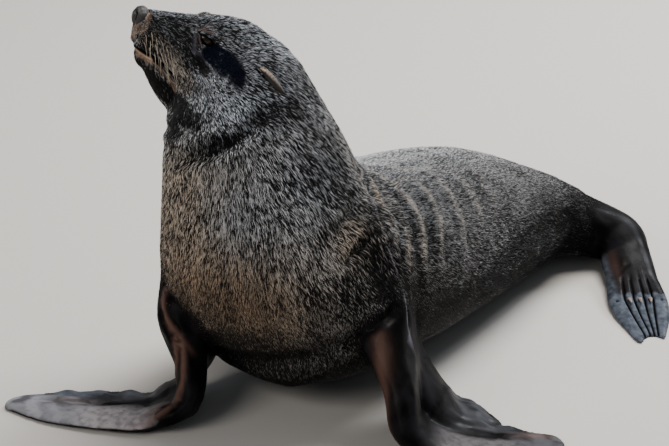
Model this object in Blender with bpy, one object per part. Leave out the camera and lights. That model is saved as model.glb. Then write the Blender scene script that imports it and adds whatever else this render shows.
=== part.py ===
"""Cape fur seal, a young bull about 1.4 m long, sitting up on its foreflippers with its nose raised.

Row frame: metres, +Z up, the trunk along Y with the chest towards -Y, the animal's own left at +X.
The flesh is modelled whole: lofts along the body, limbs and digits are fused by a remesh, eased where
they meet, thinned, stood on the floor, and then parted with narrow cuts. Nose, eyes, ears and claws
are their own solids, each seated in a pocket of the flesh. The origin ends under the middle of the box.
"""

import math

import bmesh
import bpy
import numpy as np
from mathutils import Matrix, Vector
from mathutils.bvhtree import BVHTree

# ---------------------------------------------------------------- driving dimensions, in metres

GAP = 0.0004  # clearance between neighbouring pieces
VOXEL = 0.0028  # cell of the remesh that fuses the lofts
BODY_FACES = 2850  # triangles left on the body
FINE_FACES = 1400  # and on the face, flippers and feet
MELT = 330  # passes of smoothing where masses meet
RING = 32  # points round a loft
SPAN = 5  # rings between two stations

# A station is (middle, half width, height above the middle, depth below it).
TRUNK = {
    "rump": ((-0.046, 0.692, 0.060), 0.044, 0.034, 0.048),
    "hips": ((-0.054, 0.635, 0.072), 0.082, 0.056, 0.080),
    "pelvis": ((-0.068, 0.555, 0.092), 0.114, 0.080, 0.100),
    "loin": ((-0.078, 0.430, 0.114), 0.148, 0.122, 0.122),
    "belly": ((-0.078, 0.290, 0.132), 0.168, 0.146, 0.138),
    "ribs": ((-0.074, 0.140, 0.144), 0.180, 0.156, 0.142),
    "shoulder": ((-0.068, 0.010, 0.162), 0.184, 0.146, 0.146),
    "breast": ((-0.062, -0.085, 0.178), 0.162, 0.124, 0.140),
}
NECK = {
    "breast": ((-0.062, -0.050, 0.150), 0.178, 0.126, 0.122),
    "root": ((-0.076, -0.060, 0.215), 0.188, 0.160, 0.152),
    "base": ((-0.087, -0.063, 0.290), 0.176, 0.160, 0.150),
    "middle": ((-0.104, -0.064, 0.370), 0.148, 0.140, 0.136),
    "throat": ((-0.121, -0.050, 0.440), 0.126, 0.120, 0.122),
    "poll": ((-0.134, -0.030, 0.500), 0.094, 0.084, 0.094),
}

# The head is laid out level, nose to -Y, from a point midway between the ears.
HEAD_AT = Vector((-0.130, -0.004, 0.509))
HEAD_PITCH = math.radians(25)  # nose up
HEAD_YAW = math.radians(44)  # turned to the animal's right
# distance ahead of the ears: (half width, height of the top, depth of the underside)
HEAD = {
    "nape": (-0.080, 0.084, -0.004, 0.120),
    "ears": (0.000, 0.086, 0.038, 0.132),
    "crown": (0.045, 0.078, 0.054, 0.132),
    "brow": (0.085, 0.063, 0.048, 0.128),
    "eyes": (0.112, 0.051, 0.037, 0.119),
    "muzzle": (0.142, 0.041, 0.027, 0.099),
    "pads": (0.170, 0.037, 0.019, 0.072),
    "lips": (0.187, 0.030, 0.015, 0.050),
    "tip": (0.198, 0.022, 0.012, 0.040),
}
# masses on each side of the level head: (middle on its left side, half sizes)
FACE = {
    "whisker_pad": ((0.019, -0.176, -0.020), (0.019, 0.027, 0.019)),
    "brow_ridge": ((0.033, -0.096, 0.022), (0.015, 0.026, 0.010)),
    "cheek": ((0.046, -0.070, -0.052), (0.030, 0.050, 0.050)),
    "temple": ((0.046, 0.000, -0.004), (0.042, 0.060, 0.036)),
    "chin": ((0.007, -0.156, -0.056), (0.017, 0.034, 0.019)),
}


def head_matrix():
    """Carries the level head to its place on the neck."""
    turn = Matrix.Rotation(-HEAD_YAW, 4, "Z") @ Matrix.Rotation(-HEAD_PITCH, 4, "X")
    return Matrix.Translation(HEAD_AT) @ turn


MIDDLE = -0.070  # the trunk's middle line, sideways

# Foreflippers: (middle, half chord, half thickness, direction of the leading edge)
ARM_RIGHT = {
    "shoulder": ((-0.190, -0.050, 0.225), 0.070, 0.052, (0.3, -1.0, 0.0)),
    "elbow": ((-0.168, -0.150, 0.160), 0.056, 0.046, (0.3, -1.0, -0.2)),
    "forearm": ((-0.120, -0.190, 0.095), 0.050, 0.034, (0.6, -0.8, 0.0)),
    "wrist": ((-0.106, -0.212, 0.042), 0.057, 0.027, (0.65, -0.75, 0.1)),
    "palm": ((-0.150, -0.240, 0.016), 0.066, 0.017, (0.65, -0.75, 0.06)),
    "blade": ((-0.215, -0.278, 0.011), 0.065, 0.011, (0.62, -0.78, 0.04)),
    "fingers": ((-0.285, -0.320, 0.009), 0.051, 0.009, (0.6, -0.8, 0.0)),
    "tip": ((-0.345, -0.352, 0.007), 0.024, 0.006, (0.6, -0.8, 0.0)),
}
ARM_LEFT = {
    "shoulder": ((0.080, 0.020, 0.230), 0.070, 0.052, (0.4, -1.0, 0.0)),
    "elbow": ((0.132, -0.030, 0.165), 0.062, 0.048, (0.4, -1.0, -0.2)),
    "forearm": ((0.178, -0.056, 0.100), 0.064, 0.034, (0.5, -0.8, 0.0)),
    "wrist": ((0.197, -0.066, 0.050), 0.080, 0.032, (0.6, -0.75, 0.1)),
    "palm": ((0.236, -0.036, 0.022), 0.094, 0.022, (0.6, -0.75, 0.06)),
    "blade": ((0.294, 0.004, 0.012), 0.082, 0.012, (0.66, -0.74, 0.04)),
    "fingers": ((0.334, 0.046, 0.009), 0.050, 0.009, (0.7, -0.7, 0.0)),
    "tip": ((0.362, 0.082, 0.007), 0.024, 0.006, (0.7, -0.7, 0.0)),
}
# The slope of muscle from the nape down to the back, between neck and trunk.
CREST = {
    "nape": ((-0.122, -0.004, 0.460), 0.080, 0.060, 0.080),
    "neck": ((-0.108, 0.032, 0.380), 0.096, 0.060, 0.080),
    "withers": ((-0.094, 0.090, 0.285), 0.090, 0.060, 0.080),
    "back": ((-0.084, 0.190, 0.195), 0.110, 0.080, 0.080),
}
# The skin that runs from the flank behind each arm to the trailing edge of its flipper.
WEB_LEFT = {
    "flank": ((0.092, 0.040, 0.175), 0.055, 0.016, (0.5, -0.8, 0.0)),
    "fold": ((0.130, 0.028, 0.105), 0.058, 0.013, (0.5, -0.8, 0.0)),
    "hem": ((0.176, 0.026, 0.050), 0.066, 0.020, (0.6, -0.75, 0.0)),
    "blade": ((0.222, 0.030, 0.022), 0.064, 0.020, (0.6, -0.75, 0.0)),
    "end": ((0.274, 0.040, 0.011), 0.040, 0.008, (0.65, -0.74, 0.0)),
}
WEB_RIGHT = {
    "flank": ((-0.195, -0.025, 0.170), 0.055, 0.016, (0.2, -0.9, 0.0)),
    "fold": ((-0.168, -0.100, 0.105), 0.058, 0.013, (0.3, -0.9, 0.0)),
    "hem": ((-0.140, -0.162, 0.050), 0.050, 0.018, (0.5, -0.8, 0.0)),
    "blade": ((-0.158, -0.212, 0.022), 0.044, 0.016, (0.6, -0.75, 0.0)),
}
SHOULDERS = {
    "left": ((0.048, -0.006, 0.215), (0.074, 0.098, 0.125)),
    "right": ((-0.170, -0.066, 0.220), (0.066, 0.090, 0.115)),
}

# Hind limbs: the shank comes out of the hips and turns forward at the heel.
SHANK_LEFT = {
    "thigh": ((-0.020, 0.600, 0.080), 0.070, 0.062, 0.070),
    "knee": ((0.022, 0.636, 0.066), 0.054, 0.044, 0.058),
    "shank": ((0.066, 0.656, 0.052), 0.046, 0.038, 0.050),
    "heel": ((0.094, 0.645, 0.040), 0.044, 0.034, 0.040),
}
SHANK_RIGHT = {
    "thigh": ((-0.116, 0.595, 0.080), 0.070, 0.062, 0.070),
    "knee": ((-0.158, 0.630, 0.066), 0.054, 0.044, 0.058),
    "shank": ((-0.198, 0.646, 0.052), 0.046, 0.038, 0.050),
    "heel": ((-0.232, 0.638, 0.040), 0.042, 0.034, 0.040),
}
TAIL = {
    "root": ((-0.048, 0.690, 0.062), 0.034, 0.028, 0.026),
    "middle": ((-0.052, 0.728, 0.050), 0.024, 0.016, 0.016),
    "tip": ((-0.058, 0.752, 0.034), 0.016, 0.011, 0.011),
}

# Hind foot: laid out flat, toes to -Y, from the heel, then turned out and set at the hip.
FOOT_LENGTH = 0.165  # heel to nails
FOOT_HALF_WIDTH = 0.046  # across the nails
# each digit: (sideways at the nail, sideways at the tip, length past the nails, half width)
DIGITS = {
    "hallux": (-0.038, -0.021, 0.124, 0.0165),
    "second": (-0.017, -0.005, 0.099, 0.0085),
    "third": (0.000, 0.002, 0.088, 0.0085),
    "fourth": (0.017, 0.009, 0.097, 0.0085),
    "fifth": (0.036, 0.019, 0.118, 0.0155),
}
HEEL_LEFT = Vector((0.085, 0.650, 0.032))
FOOT_YAW_LEFT = math.radians(45)  # turned out from straight ahead
HEEL_RIGHT = Vector((-0.224, 0.652, 0.032))
FOOT_YAW_RIGHT = math.radians(-45)

# In the level head, on its left side or on its middle line.
EYE_RADIUS = 0.0170
EYE_AT = (0.0275, -0.104, 0.014)
NOSE_AT = (0.0, -0.2020, -0.001)
NOSE_SIZE = (0.0160, 0.0125, 0.0160)
# each ear: (root, tip). The turned neck swells behind the left one, so it lies further out.
EARS = {
    "left": ((0.089, -0.030, 0.016), (0.116, 0.020, 0.012)),
    "right": ((-0.070, -0.030, 0.014), (-0.094, 0.018, 0.008)),
}
EAR_HALF = (0.0090, 0.0060)  # half width and half thickness of the rolled ear
# the mouth, back from the lips, then down behind the jaw: (y, z)
MOUTH = ((-0.240, -0.050), (-0.194, -0.048), (-0.161, -0.046), (-0.141, -0.052), (-0.122, -0.064),
         (-0.113, -0.084), (-0.106, -0.180))
CLAW_LENGTH = 0.016
CLAW_HALF = 0.0030
CLAW_TOP = -0.0075  # height of a nail's middle, from the heel's

# Where the flesh is parted: (point, direction across the cut, half width, half height)
PARTINGS = {
    "head_neck": ((-0.155, -0.030, 0.465), (-0.213, -0.242, 0.946), 0.200, 0.200),
    "neck_chest": ((-0.090, -0.060, 0.325), (0.0, -0.300, 0.954), 0.260, 0.240),
    "chest_trunk": ((-0.075, 0.125, 0.180), (0.0, 1.0, 0.0), 0.220, 0.210),
    "trunk_hips": ((-0.070, 0.470, 0.100), (0.0, 1.0, 0.0), 0.165, 0.180),
    "hips_tail": ((-0.050, 0.722, 0.060), (0.0, 1.0, -0.2), 0.060, 0.060),
    "hips_shank_left": ((0.022, 0.646, 0.070), (0.86, 0.51, 0.0), 0.080, 0.090),
    "hips_shank_right": ((-0.159, 0.634, 0.070), (-0.79, 0.61, 0.0), 0.080, 0.090),
    "foot_left": ((0.116, 0.620, 0.035), (0.70, -0.70, 0.15), 0.080, 0.070),
    "foot_right": ((-0.254, 0.622, 0.035), (-0.70, -0.70, 0.15), 0.080, 0.070),
    "arm_left": ((0.118, 0.000, 0.140), (0.85, -0.15, -0.45), 0.150, 0.110),
    "arm_right": ((-0.170, -0.109, 0.126), (-0.60, -0.60, -0.53), 0.180, 0.160),
    "flipper_left": ((0.208, -0.040, 0.035), (0.80, 0.30, -0.50), 0.140, 0.080),
    "flipper_right": ((-0.140, -0.222, 0.035), (-0.80, -0.30, -0.50), 0.150, 0.080),
}
# A point inside each piece of flesh, to name it by.
PIECES = {
    "head": (-0.190, -0.080, 0.540),
    "lower_jaw": (-0.246, -0.125, 0.505),
    "neck": (-0.110, -0.050, 0.400),
    "chest": (-0.070, -0.030, 0.200),
    "trunk": (-0.075, 0.290, 0.140),
    "hips": (-0.060, 0.580, 0.080),
    "tail": (-0.054, 0.742, 0.040),
    "shank_left": (0.060, 0.650, 0.050),
    "shank_right": (-0.200, 0.645, 0.050),
    "hind_flipper_left": (0.190, 0.550, 0.015),
    "hind_flipper_right": (-0.330, 0.540, 0.015),
    "forearm_left": (0.160, -0.030, 0.090),
    "forearm_right": (-0.130, -0.180, 0.090),
    "foreflipper_left": (0.280, 0.010, 0.012),
    "foreflipper_right": (-0.220, -0.280, 0.012),
}
FLOOR = 0.0035  # the flesh is cut level here, so that it stands on small flats

# Each piece takes the first finish whose words its name begins with: (linear colour, roughness).
FINISHES = {
    "nose": ((0.012, 0.011, 0.011), 0.35),
    "eye": ((0.010, 0.007, 0.005), 0.08),
    "ear": ((0.075, 0.058, 0.045), 0.60),
    "claw": ((0.050, 0.042, 0.038), 0.40),
    "foreflipper": ((0.018, 0.015, 0.015), 0.42),
    "hind_flipper": ((0.022, 0.021, 0.024), 0.42),
    "forearm": ((0.045, 0.036, 0.030), 0.70),
    "lower_jaw": ((0.130, 0.095, 0.070), 0.75),
    "": ((0.075, 0.062, 0.052), 0.80),
}


# ---------------------------------------------------------------- scene and small helpers


def clear_scene():
    for obj in list(bpy.data.objects):
        drop(obj)


def link(name, mesh):
    obj = bpy.data.objects.new(name, mesh)
    bpy.context.scene.collection.objects.link(obj)
    return obj


def drop(obj):
    bpy.data.objects.remove(obj)


def through(rows, steps):
    """A Catmull-Rom curve through rows of numbers, with `steps` points to each span."""
    rows = np.array(rows, float)
    ends = np.vstack([2 * rows[0] - rows[1], rows, 2 * rows[-1] - rows[-2]])
    share = np.linspace(0, 1, steps, endpoint=False)[:, None]
    out = []
    for a, b, c, d in zip(ends[:-3], ends[1:-2], ends[2:-1], ends[3:]):
        out.append(
            0.5
            * (
                2 * b
                + (c - a) * share
                + (2 * a - 5 * b + 4 * c - d) * share**2
                + (3 * b - a - 3 * c + d) * share**3
            )
        )
    return np.vstack([*out, rows[-1:]])


def ring_loft(name, rings):
    """A closed mesh over rings of points, each end drawn to its own middle."""
    bm = bmesh.new()
    loops = [[bm.verts.new(p) for p in ring] for ring in rings]
    for near, far in zip(loops[:-1], loops[1:]):
        for i in range(len(near)):
            j = (i + 1) % len(near)
            bm.faces.new((near[i], near[j], far[j], far[i]))
    for loop, flip in ((loops[0], True), (loops[-1], False)):
        middle = sum((v.co for v in loop), Vector()) / len(loop)
        hub = bm.verts.new(middle)
        for i in range(len(loop)):
            pair = (loop[i], loop[(i + 1) % len(loop)])
            bm.faces.new((*(reversed(pair) if flip else pair), hub))
    bmesh.ops.recalc_face_normals(bm, faces=bm.faces)
    mesh = bpy.data.meshes.new(name)
    bm.to_mesh(mesh)
    bm.free()
    return link(name, mesh)


def domed(rows, size_columns, depth, angles=(30, 55, 75, 87)):
    """Adds a round end before the first and after the last row: the sizes follow a quarter circle."""
    rows = np.array(rows, float)

    def cap(end, inner):
        way = end[:3] - inner[:3]
        way = way / np.linalg.norm(way)
        made = []
        for angle in angles:
            row = end.copy()
            row[:3] += way * depth * math.sin(math.radians(angle))
            row[size_columns] *= math.cos(math.radians(angle))
            made.append(row)
        return made

    return np.vstack([cap(rows[0], rows[1])[::-1], rows, cap(rows[-1], rows[-2])])


def body_loft(name, stations, back, dome):
    """An oval loft. `back` gives the direction of the animal's back at the first and last station."""
    rows = [(*middle, *sizes) for middle, *sizes in stations.values()]
    rows = domed(through(rows, SPAN), [3, 4, 5], dome)
    path = rows[:, :3]
    tangents = np.gradient(path, axis=0)
    angles = np.linspace(0, 2 * math.pi, RING, endpoint=False)
    rings = []
    for i, (middle, row) in enumerate(zip(path, rows)):
        share = i / (len(rows) - 1)
        along = Vector(tangents[i]).normalized()
        up = Vector(back[0]).lerp(Vector(back[1]), share)
        up = (up - along * up.dot(along)).normalized()
        side = up.cross(along)
        width, above, below = row[3:]
        ring = []
        for angle in angles:
            height = above if math.sin(angle) > 0 else below
            ring.append(Vector(middle) + side * width * math.cos(angle) + up * height * math.sin(angle))
        rings.append(ring)
    return ring_loft(name, rings)


def flipper_loft(name, stations, ring=RING, span=SPAN + 2, dome=0.012, angles=(30, 55, 75, 87)):
    """A loft with a thick leading edge and a thin trailing one, along a flipper."""
    rows = [(*middle, chord, thick, *lead) for middle, chord, thick, lead in stations.values()]
    rows = domed(through(rows, span), [3, 4], dome, angles)
    tangents = np.gradient(rows[:, :3], axis=0)
    rings = []
    for row, tangent in zip(rows, tangents):
        along = Vector(tangent).normalized()
        lead = Vector(row[5:8])
        lead = (lead - along * lead.dot(along)).normalized()
        flat = along.cross(lead)
        points = []
        for angle in np.linspace(0, 2 * math.pi, ring, endpoint=False):
            across = math.cos(angle)
            fullness = 0.72 + 0.28 * across
            edge, face = lead * row[3] * across, flat * row[4] * fullness * math.sin(angle)
            points.append(Vector(row[:3]) + edge + face)
        rings.append(points)
    return ring_loft(name, rings)


def head_loft():
    """The level head, from the nape to the tip of the muzzle."""
    rows = [
        (0, -ahead, (top - under) / 2, half, (top + under) / 2)
        for ahead, half, top, under in HEAD.values()
    ]
    rows = domed(through(rows, SPAN), [3, 4], 0.010)
    rings = []
    for _, y, z, half, tall in rows:
        ring = []
        for angle in np.linspace(0, 2 * math.pi, RING, endpoint=False):
            ring.append(Vector((half * math.cos(angle), y, z + tall * math.sin(angle))))
        rings.append(ring)
    head = ring_loft("head_form", rings)
    head.data.transform(head_matrix())
    return head


def ball(name, middle, radii, segments=32):
    """An egg-shaped mass, given by its middle and its three half sizes."""
    bm = bmesh.new()
    bmesh.ops.create_uvsphere(bm, u_segments=segments, v_segments=segments // 2, radius=1)
    mesh = bpy.data.meshes.new(name)
    bm.to_mesh(mesh)
    bm.free()
    mesh.transform(Matrix.Translation(Vector(middle)) @ Matrix.Diagonal((*radii, 1)))
    return link(name, mesh)


def face_masses():
    """Whisker pads, brow ridges and cheeks, on both sides of the head."""
    made = []
    for name, ((x, y, z), radii) in FACE.items():
        for side in (1, -1):
            mass = ball(f"{name}_form", (side * x, y, z), radii)
            mass.data.transform(head_matrix())
            made.append(mass)
    return made


def hind_foot(name):
    """The flat hind foot, laid out with its toes to -Y: a sole and five long digits."""
    forms = []
    sole = [
        ((0, 0.030, 0.016), 0.034, 0.040, (1, 0, 0)),
        ((0, 0.000, 0.010), 0.042, 0.040, (1, 0, 0)),
        ((0, -0.060, -0.002), 0.045, 0.028, (1, 0, 0)),
        ((0, -0.120, -0.012), 0.045, 0.018, (1, 0, 0)),
        ((0, -FOOT_LENGTH, -0.020), FOOT_HALF_WIDTH, 0.012, (1, 0, 0)),
        ((0, -FOOT_LENGTH - 0.030, -0.024), 0.040, 0.007, (1, 0, 0)),
    ]
    forms.append(flipper_loft(f"{name}_sole", dict(enumerate(sole))))
    for digit, (at_nail, at_tip, reach, half) in DIGITS.items():
        rows = [
            ((at_nail * 0.7, -FOOT_LENGTH * 0.45, -0.004), half, 0.016, (1, 0, 0)),
            ((at_nail, -FOOT_LENGTH, -0.018), half, 0.013, (1, 0, 0)),
            (((at_nail + at_tip) / 2, -FOOT_LENGTH - reach * 0.5, -0.024), half * 1.1, 0.009, (1, 0, 0)),
            ((at_tip, -FOOT_LENGTH - reach, -0.026), half * 0.8, 0.007, (1, 0, 0)),
        ]
        forms.append(flipper_loft(f"{name}_{digit}", dict(enumerate(rows))))
    return forms


def set_foot(forms, heel, yaw, mirror):
    side = Matrix.Scale(-1, 4, (1, 0, 0)) if mirror else Matrix.Identity(4)
    place = Matrix.Translation(heel) @ Matrix.Rotation(yaw, 4, "Z") @ side
    for form in forms:
        form.data.transform(place)
        if mirror:
            form.data.flip_normals()
    return forms


def join(objects, name):
    """One mesh of several closed shells, still crossing each other."""
    bm = bmesh.new()
    for obj in objects:
        bm.from_mesh(obj.data)
        drop(obj)
    mesh = bpy.data.meshes.new(name)
    bm.to_mesh(mesh)
    bm.free()
    return link(name, mesh)


def settle(obj):
    """Applies the object's modifiers to its mesh."""
    graph = bpy.context.evaluated_depsgraph_get()
    mesh = bpy.data.meshes.new_from_object(obj.evaluated_get(graph))
    obj.modifiers.clear()
    obj.data = mesh
    return obj


def softness(co):
    """1 on the body, falling to 0 on the face, the flippers and the feet."""
    ahead = (head_matrix().inverted() @ co).y + 0.130
    share = min(max(ahead / 0.090, 0.02), 1)
    if co.y < 0.3 and abs(co.x - MIDDLE) > 0.05:
        share = min(share, min(max((co.z - 0.060) / 0.10, 0.03), 1))
    for heel in (HEEL_LEFT, HEEL_RIGHT):
        if co.y > 0.4 and abs(co.x - heel.x) < 0.20:
            share = min(share, min(max(0.05 + abs(co.x - heel.x) / 0.4, 0.05), 1))
    return share


def mark(flesh, name, weigh):
    group = flesh.vertex_groups.new(name=name)
    for vertex in flesh.data.vertices:
        group.add([vertex.index], weigh(vertex.co), "REPLACE")


def ease(flesh):
    """Remeshes the crossing shells into one and smooths it, most where masses meet."""
    fuse = flesh.modifiers.new("fuse", "REMESH")
    fuse.mode = "VOXEL"
    fuse.voxel_size = VOXEL
    settle(flesh)
    mark(flesh, "thick", softness)
    even = flesh.modifiers.new("even", "SMOOTH")
    even.factor = 0.5
    even.iterations = 8
    melt = flesh.modifiers.new("melt", "SMOOTH")
    melt.factor = 0.5
    melt.iterations = MELT
    melt.vertex_group = "thick"
    settle(flesh)


def fine(co):
    """Whether faces are kept small here: on the face, the flippers and the feet."""
    ahead = -(head_matrix().inverted() @ co).y
    face = ahead > 0.075 and co.z > 0.43
    limb = co.z < 0.090 and abs(co.x - MIDDLE) > 0.140
    return face or limb


def thin_out(flesh):
    """Fewer faces: first on the body, then, more gently, on the face, the flippers and the feet."""
    mark(flesh, "body", lambda co: 0.0 if fine(co) else 1.0)
    mark(flesh, "fine", lambda co: 1.0 if fine(co) else 0.0)
    group = flesh.vertex_groups["body"].index
    held = {v.index for v in flesh.data.vertices if v.groups[group].weight == 0.0}
    triangles = sum(len(p.vertices) - 2 for p in flesh.data.polygons)
    small = [p for p in flesh.data.polygons if held.issuperset(p.vertices)]
    in_fine = sum(len(p.vertices) - 2 for p in small)
    for name, kept, before in (
        ("body", in_fine + BODY_FACES, triangles),
        ("fine", BODY_FACES + FINE_FACES, in_fine + BODY_FACES),
    ):
        fewer = flesh.modifiers.new(f"fewer_{name}", "DECIMATE")
        fewer.ratio = kept / before
        fewer.vertex_group = name
    settle(flesh)


def stand(flesh):
    """Cuts the flesh level at the floor and closes the flats."""
    bm = bmesh.new()
    bm.from_mesh(flesh.data)
    everything = bm.verts[:] + bm.edges[:] + bm.faces[:]
    level = {"plane_co": (0, 0, FLOOR), "plane_no": (0, 0, -1)}
    bmesh.ops.bisect_plane(bm, geom=everything, clear_outer=True, **level)
    rim = [edge for edge in bm.edges if edge.is_boundary]
    bmesh.ops.holes_fill(bm, edges=rim, sides=0)
    bmesh.ops.triangulate(bm, faces=[face for face in bm.faces if len(face.verts) > 4])
    bmesh.ops.recalc_face_normals(bm, faces=bm.faces)
    bm.to_mesh(flesh.data)
    bm.free()


def slab(point, across, half_width, half_height):
    """A thin flat cutter, square to `across`, with its width level."""
    normal = Vector(across).normalized()
    wide = Vector((0, 0, 1)).cross(normal)
    wide = wide.normalized() if wide.length > 0.3 else Vector((1, 0, 0))
    tall = normal.cross(wide).normalized()
    wide = tall.cross(normal)
    bm = bmesh.new()
    bmesh.ops.create_cube(bm, size=2)
    mesh = bpy.data.meshes.new("slab")
    bm.to_mesh(mesh)
    bm.free()
    frame = Matrix((wide * half_width, tall * half_height, normal * GAP / 2)).transposed().to_4x4()
    mesh.transform(Matrix.Translation(point) @ frame)
    return link("slab", mesh)


def mouth_cutter():
    """A thin bent sheet between the jaws, which turns down behind the lower one."""
    line = [Vector(p) for p in MOUTH]
    bm = bmesh.new()
    under = []
    for i, p in enumerate(line):
        way = (line[min(i + 1, len(line) - 1)] - line[max(i - 1, 0)]).normalized()
        under.append(p + Vector((-way.y, way.x)) * -GAP)
    outline = line + under[::-1]
    ring = [bm.verts.new((-0.09, y, z)) for y, z in outline]
    face = bm.faces.new(ring)
    swept = bmesh.ops.extrude_face_region(bm, geom=[face])
    moved = [v for v in swept["geom"] if isinstance(v, bmesh.types.BMVert)]
    bmesh.ops.translate(bm, verts=moved, vec=(0.18, 0, 0))
    bmesh.ops.recalc_face_normals(bm, faces=bm.faces)
    mesh = bpy.data.meshes.new("mouth_cutter")
    bm.to_mesh(mesh)
    bm.free()
    mesh.transform(head_matrix())
    return link("mouth_cutter", mesh)


def cut(obj, cutter):
    """Takes the cutter's shape out of the object, and the cutter out of the scene."""
    taken = obj.modifiers.new("cut", "BOOLEAN")
    taken.operation = "DIFFERENCE"
    taken.solver = "EXACT"
    taken.object = cutter
    settle(obj)
    drop(cutter)


def swollen(obj, by):
    """A copy pushed out by a clearance, to cut a pocket with."""
    bm = bmesh.new()
    bm.from_mesh(obj.data)
    bm.normal_update()
    for vertex, normal in [(v, v.normal.copy()) for v in bm.verts]:
        vertex.co += normal * by
    mesh = bpy.data.meshes.new(f"{obj.name}_pocket")
    bm.to_mesh(mesh)
    bm.free()
    return link(f"{obj.name}_pocket", mesh)


def loose_parts(obj):
    """The separate closed shells of a mesh, largest first, as meshes."""
    bm = bmesh.new()
    bm.from_mesh(obj.data)
    seen = set()
    groups = []
    for start in bm.verts:
        if start in seen:
            continue
        group, stack = [], [start]
        seen.add(start)
        while stack:
            vertex = stack.pop()
            group.append(vertex.index)
            for edge in vertex.link_edges:
                other = edge.other_vert(vertex)
                if other not in seen:
                    seen.add(other)
                    stack.append(other)
        groups.append(set(group))
    bm.free()
    made = []
    for group in sorted(groups, key=len, reverse=True):
        part = bmesh.new()
        part.from_mesh(obj.data)
        gone = [v for v in part.verts if v.index not in group]
        bmesh.ops.delete(part, geom=gone, context="VERTS")
        mesh = bpy.data.meshes.new("piece")
        part.to_mesh(mesh)
        part.free()
        made.append(mesh)
    return made


def holds(mesh, point):
    """Whether a closed mesh has the point inside it."""
    tree = BVHTree.FromPolygons([v.co for v in mesh.vertices], [p.vertices for p in mesh.polygons])
    crossings, start, way = 0, Vector(point), Vector((0.3, 0.2, 0.93)).normalized()
    while True:
        hit = tree.ray_cast(start, way)[0]
        if hit is None:
            return crossings % 2 == 1
        crossings += 1
        start = hit + way * 1e-6


def part_flesh(flesh):
    """Parts the flesh with its cuts and gives each piece its name."""
    for spec in PARTINGS.values():
        cut(flesh, slab(*spec))
    cut(flesh, mouth_cutter())
    made = {}
    for mesh in loose_parts(flesh):
        name = next(name for name, point in PIECES.items() if holds(mesh, point))
        made[name] = link(name, mesh)
    drop(flesh)
    return made


def ear(name, ends):
    """A small rolled ear, thin at its tip, with its root sunk in the head."""
    root, tip = map(Vector, ends)
    wide, thick = EAR_HALF
    rows = {
        "root": (tuple(root), wide * 0.75, thick, (0, 0.2, 1)),
        "open": (tuple(root.lerp(tip, 0.40)), wide, thick, (0, 0.2, 1)),
        "roll": (tuple(root.lerp(tip, 0.75)), wide * 0.72, thick * 0.8, (0, 0.2, 1)),
        "tip": (tuple(tip), wide * 0.40, thick * 0.5, (0, 0.2, 1)),
    }
    obj = flipper_loft(name, rows, ring=10, span=1, dome=0.003, angles=(50, 80))
    obj.data.transform(head_matrix())
    return obj


def claw(name, foot, digit):
    """A small nail lying on the top of a digit, its root in the flesh."""
    at_nail = DIGITS[digit][0]
    across = (1, 0, 0)
    half_way, end = FOOT_LENGTH + CLAW_LENGTH * 0.5, FOOT_LENGTH + CLAW_LENGTH
    rows = {
        "root": ((at_nail, -FOOT_LENGTH + 0.002, CLAW_TOP - 0.004), CLAW_HALF, 0.0030, across),
        "plate": ((at_nail, -half_way, CLAW_TOP), CLAW_HALF, 0.0026, across),
        "tip": ((at_nail * 0.96, -end, CLAW_TOP - 0.001), CLAW_HALF * 0.5, 0.0016, across),
    }
    obj = flipper_loft(name, rows, ring=8, span=1, dome=0.002, angles=(70,))
    return set_foot([obj], *foot)[0]


def seat(piece, flesh):
    """Cuts the piece's pocket, with its clearance, in the flesh that holds it."""
    cut(flesh, swollen(piece, GAP))


def finish(obj):
    """Gives a piece its own material, from the list of finishes."""
    colour, roughness = next(look for word, look in FINISHES.items() if obj.name.startswith(word))
    material = bpy.data.materials.new(obj.name)
    material.use_nodes = True
    shader = material.node_tree.nodes["Principled BSDF"]
    shader.inputs["Base Color"].default_value = (*colour, 1)
    shader.inputs["Roughness"].default_value = roughness
    obj.data.materials.clear()
    obj.data.materials.append(material)


def stand_over_origin():
    """Moves the whole animal so that the middle of its box's underside is the origin."""
    corners = np.array([v.co for obj in bpy.data.objects for v in obj.data.vertices])
    low, high = corners.min(axis=0), corners.max(axis=0)
    shift = Vector((-(low[0] + high[0]) / 2, -(low[1] + high[1]) / 2, -low[2]))
    for obj in bpy.data.objects:
        obj.data.transform(Matrix.Translation(shift))
    return shift


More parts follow.
